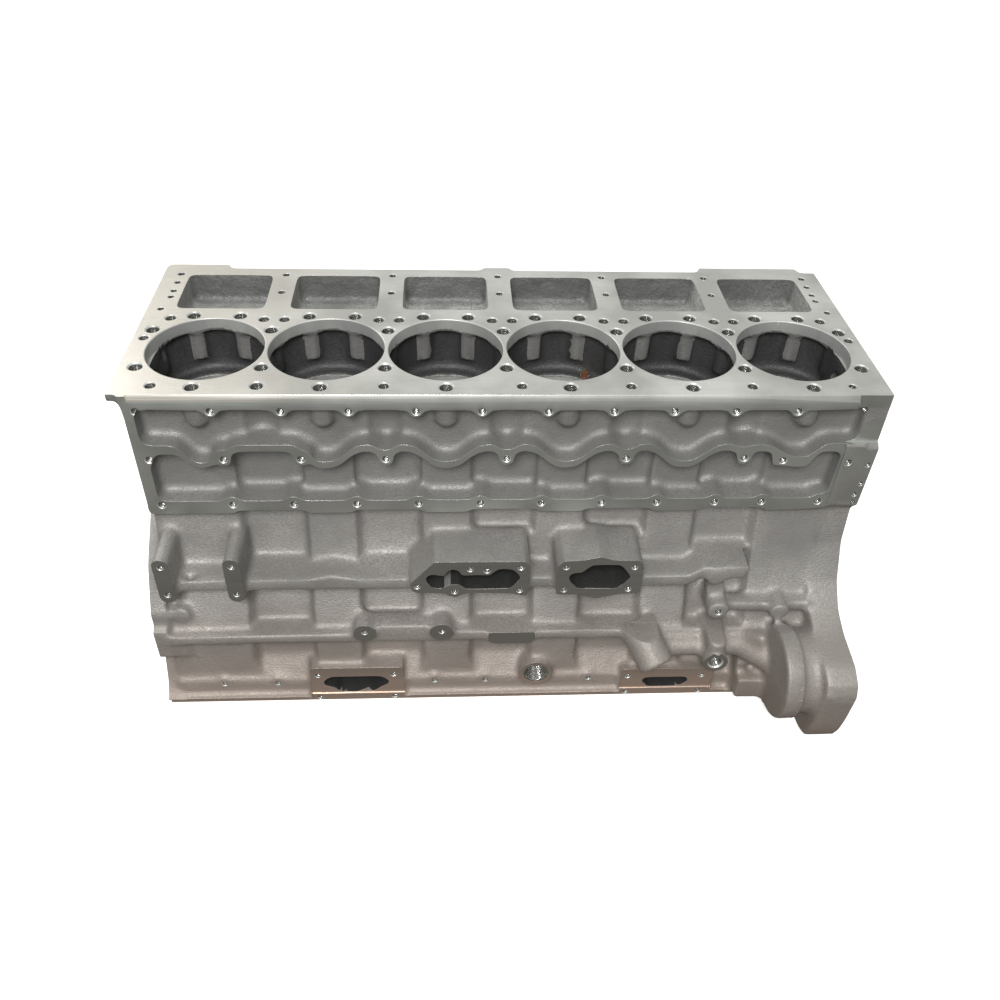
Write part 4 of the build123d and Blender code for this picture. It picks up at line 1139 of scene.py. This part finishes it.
class PatternTree:
    """A Geometry Nodes tree that sets a unit form at every point, turned and sized as it says."""

    def __init__(self, name: str, inputs: dict[str, str]) -> None:
        """Start a tree with its named inputs.

        Args:
            name: Name of the tree.
            inputs: Type of each input, by its name.
        """
        self.tree = bpy.data.node_groups.new(name, "GeometryNodeTree")
        self.keys: dict[str, str] = {}
        for label, kind in {"Points": "NodeSocketGeometry", **inputs}.items():
            socket = self.tree.interface.new_socket(label, in_out="INPUT", socket_type=kind)
            self.keys[label] = socket.identifier
        self.tree.interface.new_socket("Geometry", in_out="OUTPUT", socket_type="NodeSocketGeometry")
        self.given = self.tree.nodes.new("NodeGroupInput").outputs

    def add(self, kind: str, inputs: dict[str, object], **choices: str) -> bpy.types.NodeSocket:
        """Add a node.

        Args:
            kind: Type of the node, without its first word.
            inputs: Socket to link, list of sockets or plain value, by the input's name.
            choices: The node's own settings.

        Returns:
            Its first output.
        """
        node = self.tree.nodes.new(f"GeometryNode{kind}")
        for name, choice in choices.items():
            setattr(node, name, choice)
        for name, value in inputs.items():
            if isinstance(value, (bpy.types.NodeSocket, list)):
                for source in value if isinstance(value, list) else [value]:
                    self.tree.links.new(source, node.inputs[name])
            else:
                node.inputs[name].default_value = value
        return node.outputs[0]

    def stored(self, name: str) -> bpy.types.NodeSocket:
        """Read three numbers that each point holds."""
        return self.add("InputNamedAttribute", {"Name": name}, data_type="FLOAT_VECTOR")

    def finish(self, form: bpy.types.NodeSocket) -> None:
        """Set the form at the points, and end the tree.

        Args:
            form: The unit form.
        """
        placed = self.add("InstanceOnPoints", {
            "Points": self.given["Points"], "Instance": form,
            "Rotation": self.stored("turn"), "Scale": self.stored("size")})
        real = self.add("RealizeInstances", {"Geometry": placed})
        dressed = self.add("SetMaterial", {"Geometry": real, "Material": self.given["Material"]})
        self.tree.links.new(dressed, self.tree.nodes.new("NodeGroupOutput").inputs["Geometry"])


@dataclass
class HolePattern:
    """Tools at the small holes' mouths: drills with their points, and countersinks.

    Attributes:
        segments: Faces round a tool.
        clearance: Millimetres that a drill's radius is over the hole's.
        overshoot: How far a drill stands out of its hole, as a share of the hole's depth.
        point: Length of its point, as a share of the hole's depth.
        sink: Depth of a countersink, as a share of the hole's radius.
        rise: How far a countersink stands out, as a share of that radius.
        weld: Distance under which a drill's points are merged, as a share of its size.
    """

    segments: int = 20
    clearance: float = 0.1
    overshoot: float = 0.1
    point: float = 0.15
    sink: float = 0.22
    rise: float = 0.25
    weld: float = 0.0001

    def drill_tree(self) -> PatternTree:
        """Build the tree of the drills: a tube with a flat top and a pointed end."""
        tree = PatternTree("drill_pattern", {
            "Segments": "NodeSocketInt", "Point": "NodeSocketFloat",
            "Overshoot": "NodeSocketFloat", "Material": "NodeSocketMaterial"})
        around = {"Vertices": tree.given["Segments"]}
        length = 1.0 + self.overshoot
        tube = tree.add("MeshCylinder", {**around, "Radius": 1.0, "Depth": length}, fill_type="NONE")
        tube = tree.add("Transform", {"Geometry": tube, "Translation": (0, 0, length / 2 - 1)})
        cone = tree.add("MeshCone", {**around, "Radius Top": 0.0, "Radius Bottom": 1.0,
                                     "Depth": tree.given["Point"]}, fill_type="NONE")
        cone = tree.add("Transform", {
            "Geometry": cone, "Translation": (0, 0, -1), "Rotation": (math.pi, 0, 0)})
        cap = tree.add("MeshCircle", {**around, "Radius": 1.0}, fill_type="NGON")
        lift = tree.tree.nodes.new("ShaderNodeCombineXYZ")
        tree.tree.links.new(tree.given["Overshoot"], lift.inputs["Z"])
        cap = tree.add("Transform", {"Geometry": cap, "Translation": lift.outputs["Vector"]})
        joined = tree.add("JoinGeometry", {"Geometry": [tube, cone, cap]})
        tree.finish(tree.add("MergeByDistance", {"Geometry": joined, "Distance": self.weld}))
        return tree

    def sink_tree(self) -> PatternTree:
        """Build the tree of the countersinks: a cone's lower part."""
        tree = PatternTree("countersink_pattern", {
            "Segments": "NodeSocketInt", "Height": "NodeSocketFloat",
            "Mouth": "NodeSocketFloat", "Material": "NodeSocketMaterial"})
        form = tree.add("MeshCone", {
            "Vertices": tree.given["Segments"], "Radius Top": tree.given["Mouth"], "Radius Bottom": 1.0,
            "Depth": tree.given["Height"]}, fill_type="NGON")
        tree.finish(tree.add("Transform", {"Geometry": form, "Translation": (0, 0, -self.sink)}))
        return tree

    def places(self, tool: Tool, holes: list[Hole]) -> bpy.types.Object:
        """Make a point at each hole's mouth, with its turn and size.

        Args:
            tool: The tool that will stand there.
            holes: The holes.

        Returns:
            The points.
        """
        piece = new_object(tool.value, bpy.data.meshes.new(tool.value))
        piece.data.from_pydata([tuple(n * MM for n in hole.centre) for hole in holes], [], [])
        turns: list[float] = []
        sizes: list[float] = []
        for hole in holes:
            direction = Vector((0.0, 0.0, 0.0))
            direction[hole.axis.value] = hole.outward
            turns += direction.to_track_quat("Z", "Y").to_euler()
            radius = (hole.radius + self.clearance) * MM
            sizes += [radius, radius, hole.depth * MM if tool is Tool.DRILL else radius]
        for name, values in (("turn", turns), ("size", sizes)):
            piece.data.attributes.new(name, "FLOAT_VECTOR", "POINT").data.foreach_set("vector", values)
        return piece

    def build(self, tool: Tool, holes: list[Hole], finish: bpy.types.Material) -> bpy.types.Object:
        """Make one tool at every hole, as one mesh of closed forms.

        Args:
            tool: The tool.
            holes: The holes.
            finish: Material that the tool leaves.

        Returns:
            The cutter.
        """
        piece = self.places(tool, holes)
        if tool is Tool.DRILL:
            tree = self.drill_tree()
            values = {"Segments": self.segments, "Point": self.point, "Overshoot": self.overshoot}
        else:
            tree = self.sink_tree()
            height = self.sink + self.rise
            values = {"Segments": self.segments, "Height": height, "Mouth": 1.0 + height}
        change = piece.modifiers.new("pattern", "NODES")
        change.node_group = tree.tree
        for name, value in {**values, "Material": finish}.items():
            change[tree.keys[name]] = value
        baked(piece)
        LOG.info("%s: %d holes, %d faces", tool.value, len(holes), len(piece.data.polygons))
        return piece


def casting_finishes() -> Finishes:
    """Make the casting's materials."""
    # Painted floor bounce: the machined faces turn brown towards the bottom, as light off a brown floor
    # would tint them.
    painted_floor_bounce = Tint(Axis.Z, (0.10, 0.03), (0.76, 0.60, 0.50, 1.0), 0.75)
    dull = Tint(Axis.Z, (0.31, 0.29), (0.29, 0.29, 0.27, 1.0), 0.85)
    # Painted floor bounce: the cast skin turns brown towards the bottom, as light off a brown floor would
    # tint it.
    rail = Tint(Axis.Z, (0.20, 0.02), (0.27, 0.215, 0.18, 1.0))
    # Painted shade: the cast skin darkens upwards from z 0.30 to 0.34 and stays dark above, where less
    # light reaches the upper faces.
    shade = Tint(Axis.Z, (0.30, 0.34), (0.15, 0.152, 0.147, 1.0), 0.55)
    # Painted reflection: the deck turns pale cream towards its left end, as a window's glare on it.
    painted_deck_reflection = Tint(Axis.X, (-0.15, -0.45), (0.74, 0.69, 0.61, 1.0), 0.8)
    # Painted shade: the jacket skin darkens to near black below z 0.30 to 0.36, inside the mouths of the
    # housings and covers.
    painted_hollow_shade = Tint(Axis.Z, (0.36, 0.30), (0.03, 0.029, 0.028, 1.0))
    far = Tint(Axis.Y, (0.18, 0.19), (0.07, 0.071, 0.07, 1.0), 0.8)
    builders = {
        Finish.CAST: CastSkin(
            Finish.CAST.value, (0.30, 0.287, 0.272, 1.0), (0.205, 0.196, 0.185, 1.0), (rail, shade)),
        # Painted shade: the jacket's near-black colours stand for the shade deep in the jacket and inside
        # the hollows.
        Finish.JACKET: CastSkin(
            Finish.JACKET.value, (0.06, 0.062, 0.06, 1.0), (0.034, 0.035, 0.034, 1.0), (painted_hollow_shade,)),
        Finish.CHAMBER: CastSkin(
            Finish.CHAMBER.value, (0.52, 0.52, 0.49, 1.0), (0.22, 0.222, 0.21, 1.0), (far,), swell=0.015),
        Finish.DECK: CutIron(
            Finish.DECK.value, (0.69, 0.685, 0.65, 1.0), (0.45, 0.45, 0.425, 1.0),
            (6.0, 900.0, 6.0), tints=(painted_deck_reflection,)),
        Finish.FACE: CutIron(
            Finish.FACE.value, (0.52, 0.53, 0.50, 1.0), (0.40, 0.41, 0.385, 1.0),
            (8.0, 8.0, 700.0), (0.34, 0.48), tints=(dull, painted_floor_bounce)),
        Finish.BORE: CutIron(
            Finish.BORE.value, (0.52, 0.525, 0.50, 1.0), (0.38, 0.385, 0.37, 1.0),
            (5.0, 5.0, 1200.0), (0.36, 0.50), metallic=0.55),
        # Painted light and shade: one tapped finish in three brightnesses, with bright glints in the front
        # holes and dark shade in the deck holes.
        Finish.TAPPED_X: TappedIron(Axis.X, (0.62, 0.61, 0.58, 1.0), (0.10, 0.10, 0.095, 1.0)),
        Finish.TAPPED_Y: TappedIron(Axis.Y, (0.80, 0.79, 0.76, 1.0), (0.12, 0.12, 0.115, 1.0)),
        Finish.TAPPED_Z: TappedIron(Axis.Z, (0.30, 0.30, 0.28, 1.0), (0.06, 0.06, 0.057, 1.0)),
    }
    return {finish: builder.build() for finish, builder in builders.items()}


@dataclass
class SmallParts:
    """Caps, bolts, bushings and plugs, which keep their packed form and get their finishes."""

    def finishes(self) -> dict[str, bpy.types.Material]:
        """Make the finishes by the start of the nodes' names.

        Returns:
            Material by name.
        """
        metal = SmallMetal
        builders = {
            "main_cap_bolts": metal("black_oxide_bolt", (0.05, 0.05, 0.052, 1), (0.025, 0.025, 0.027, 1)),
            "main_cap": CutIron(
                "machined_cap", (0.34, 0.35, 0.33, 1), (0.24, 0.245, 0.235, 1), (600.0, 8.0, 8.0)),
            "cam_bushing": metal("bronze_bushing", (0.62, 0.45, 0.26, 1), (0.50, 0.35, 0.19, 1)),
            "cam_end_plug": metal("pressed_plug", (0.48, 0.47, 0.44, 1), (0.36, 0.35, 0.33, 1)),
            "core_plugs": metal("pressed_cup", (0.50, 0.49, 0.45, 1), (0.38, 0.37, 0.34, 1)),
            "gallery_plugs": metal("threaded_plug", (0.30, 0.29, 0.27, 1), (0.20, 0.20, 0.19, 1)),
            "end_dowels": metal(
                "ground_dowel", (0.60, 0.60, 0.59, 1), (0.48, 0.48, 0.47, 1), (0.16, 0.26)),
            "jacket_plug": metal("copper_plug", (0.72, 0.34, 0.19, 1), (0.50, 0.20, 0.11, 1)),
        }
        return {name: builder.build() for name, builder in builders.items()}

    def dress(self) -> None:
        """Give each packed small part its finish."""
        finishes = self.finishes()
        for name, piece in sorted(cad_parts.items()):
            match = [key for key in finishes if name.startswith(key)]
            if match:
                key = max(match, key=len)
                piece.data.materials.clear()
                piece.data.materials.append(finishes[key])
                LOG.info("%s: %s", name, finishes[key].name)


@dataclass
class Studio:
    """Pale floor, soft lights, sky and camera."""

    floor_half: float = 6.0
    yaw: float = 4.423
    pitch: float = 39.32
    roll: float = 2.562
    eye: tuple[float, float, float] = (-0.07722, -1.01126, 1.11243)
    focal_pixels: float = 925.68
    image_pixels: float = 1000.0
    centre_row: float = 474.95
    sensor: float = 36.0
    floor_glow: float = 0.35
    sky_strength: float = 1.0
    lamp_target: tuple[float, float, float] = (0.0, 0.0, 0.25)
    lamps: tuple[tuple[str, tuple[float, float, float], float, float], ...] = (
        ("key", (-0.35, -1.9, 2.1), 0.7, 74.0),
        ("window", (-2.3, 2.0, 2.0), 1.6, 24.0))

    def floor(self) -> None:
        """Lay the pale floor."""
        h = self.floor_half
        mesh = bpy.data.meshes.new("floor")
        mesh.from_pydata([(-h, -h, 0), (h, -h, 0), (h, h, 0), (-h, h, 0)], [], [(0, 1, 2, 3)])
        floor = new_object("floor", mesh)
        graph = Graph("pale_floor")
        soft = graph.spread(graph.noise(3.0), 0.3, 0.7)
        colour = graph.mix(soft, (0.92, 0.92, 0.915, 1.0), (0.94, 0.94, 0.935, 1.0))
        roughness = graph.spread(soft, 0.0, 1.0, 0.7, 0.85)
        graph.dress(colour, roughness, graph.bump(graph.noise(150.0), 0.0001, 0.1), 0.0)
        graph.shader.inputs["Emission Color"].default_value = (1.0, 1.0, 0.99, 1.0)
        graph.shader.inputs["Emission Strength"].default_value = self.floor_glow
        mesh.materials.append(graph.material)
        floor.visible_diffuse = False
        floor.visible_glossy = False

    def sky(self) -> None:
        """Light the scene from a pale dome that darkens and warms below the horizon."""
        world = bpy.data.worlds.new("studio")
        bpy.context.scene.world = world
        world.use_nodes = True
        tree = world.node_tree
        place = tree.nodes.new("ShaderNodeTexCoord")
        split = tree.nodes.new("ShaderNodeSeparateXYZ")
        ramp = tree.nodes.new("ShaderNodeValToRGB")
        shift = tree.nodes.new("ShaderNodeMapRange")
        shift.inputs["From Min"].default_value = -1.0
        stops = (
            (0.0, (0.12, 0.08, 0.06, 1)), (0.12, (0.18, 0.14, 0.115, 1)),
            (0.24, (0.22, 0.225, 0.215, 1)), (0.46, (0.24, 0.24, 0.235, 1)),
            (0.80, (0.93, 0.94, 0.92, 1)))
        for _ in stops[2:]:
            ramp.color_ramp.elements.new(0.5)
        for stop, (position, colour) in zip(ramp.color_ramp.elements, stops):
            stop.position = position
            stop.color = colour
        tree.links.new(place.outputs["Generated"], split.inputs["Vector"])
        tree.links.new(split.outputs["Z"], shift.inputs["Value"])
        tree.links.new(shift.outputs["Result"], ramp.inputs["Fac"])
        tree.links.new(ramp.outputs["Color"], tree.nodes["Background"].inputs["Color"])
        tree.nodes["Background"].inputs["Strength"].default_value = self.sky_strength

    def lamp(self, name: str, at: Vector, size: float, power: float) -> None:
        """Add a soft square lamp that faces the block.

        Args:
            name: Name of the lamp.
            at: Place, in metres.
            size: Side of the square, in metres.
            power: Watts.
        """
        data = bpy.data.lights.new(name, "AREA")
        data.size = size
        data.energy = power
        lamp = bpy.data.objects.new(name, data)
        turn = (at - Vector(self.lamp_target)).to_track_quat("Z", "Y").to_matrix().to_4x4()
        lamp.matrix_world = Matrix.Translation(at) @ turn
        bpy.context.scene.collection.objects.link(lamp)

    def camera(self) -> None:
        """Place the camera where the photograph was taken from."""
        yaw, pitch, roll = (math.radians(a) for a in (self.yaw, self.pitch, self.roll))
        flat = math.cos(pitch)
        ahead = Vector((math.sin(yaw) * flat, math.cos(yaw) * flat, -math.sin(pitch)))
        level = Vector((math.cos(yaw), -math.sin(yaw), 0.0))
        above = level.cross(ahead)
        right = level * math.cos(roll) + above * math.sin(roll)
        up = above * math.cos(roll) - level * math.sin(roll)
        data = bpy.data.cameras.new("camera")
        data.sensor_fit = "HORIZONTAL"
        data.sensor_width = self.sensor
        data.lens = self.focal_pixels * self.sensor / self.image_pixels
        data.shift_y = -(self.image_pixels / 2 - self.centre_row) / self.image_pixels
        camera = bpy.data.objects.new("camera", data)
        columns = Matrix((right, up, -ahead)).transposed().to_4x4()
        camera.matrix_world = Matrix.Translation(Vector(self.eye)) @ columns
        bpy.context.scene.collection.objects.link(camera)
        bpy.context.scene.camera = camera

    def build(self) -> None:
        """Set up the whole studio."""
        self.floor()
        self.sky()
        for name, at, size, power in self.lamps:
            self.lamp(name, Vector(at), size, power)
        self.camera()
        bpy.context.scene.view_settings.view_transform = "Standard"


def main() -> None:
    """Build the object's pieces in order and report each."""
    logging.basicConfig(level=logging.INFO, format="%(message)s")
    Studio().build()
    casting = Casting().build()
    LOG.info("%s: %d faces", casting.name, len(casting.data.polygons))
    SmallParts().dress()


if __name__ == "__main__":
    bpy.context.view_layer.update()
    main()
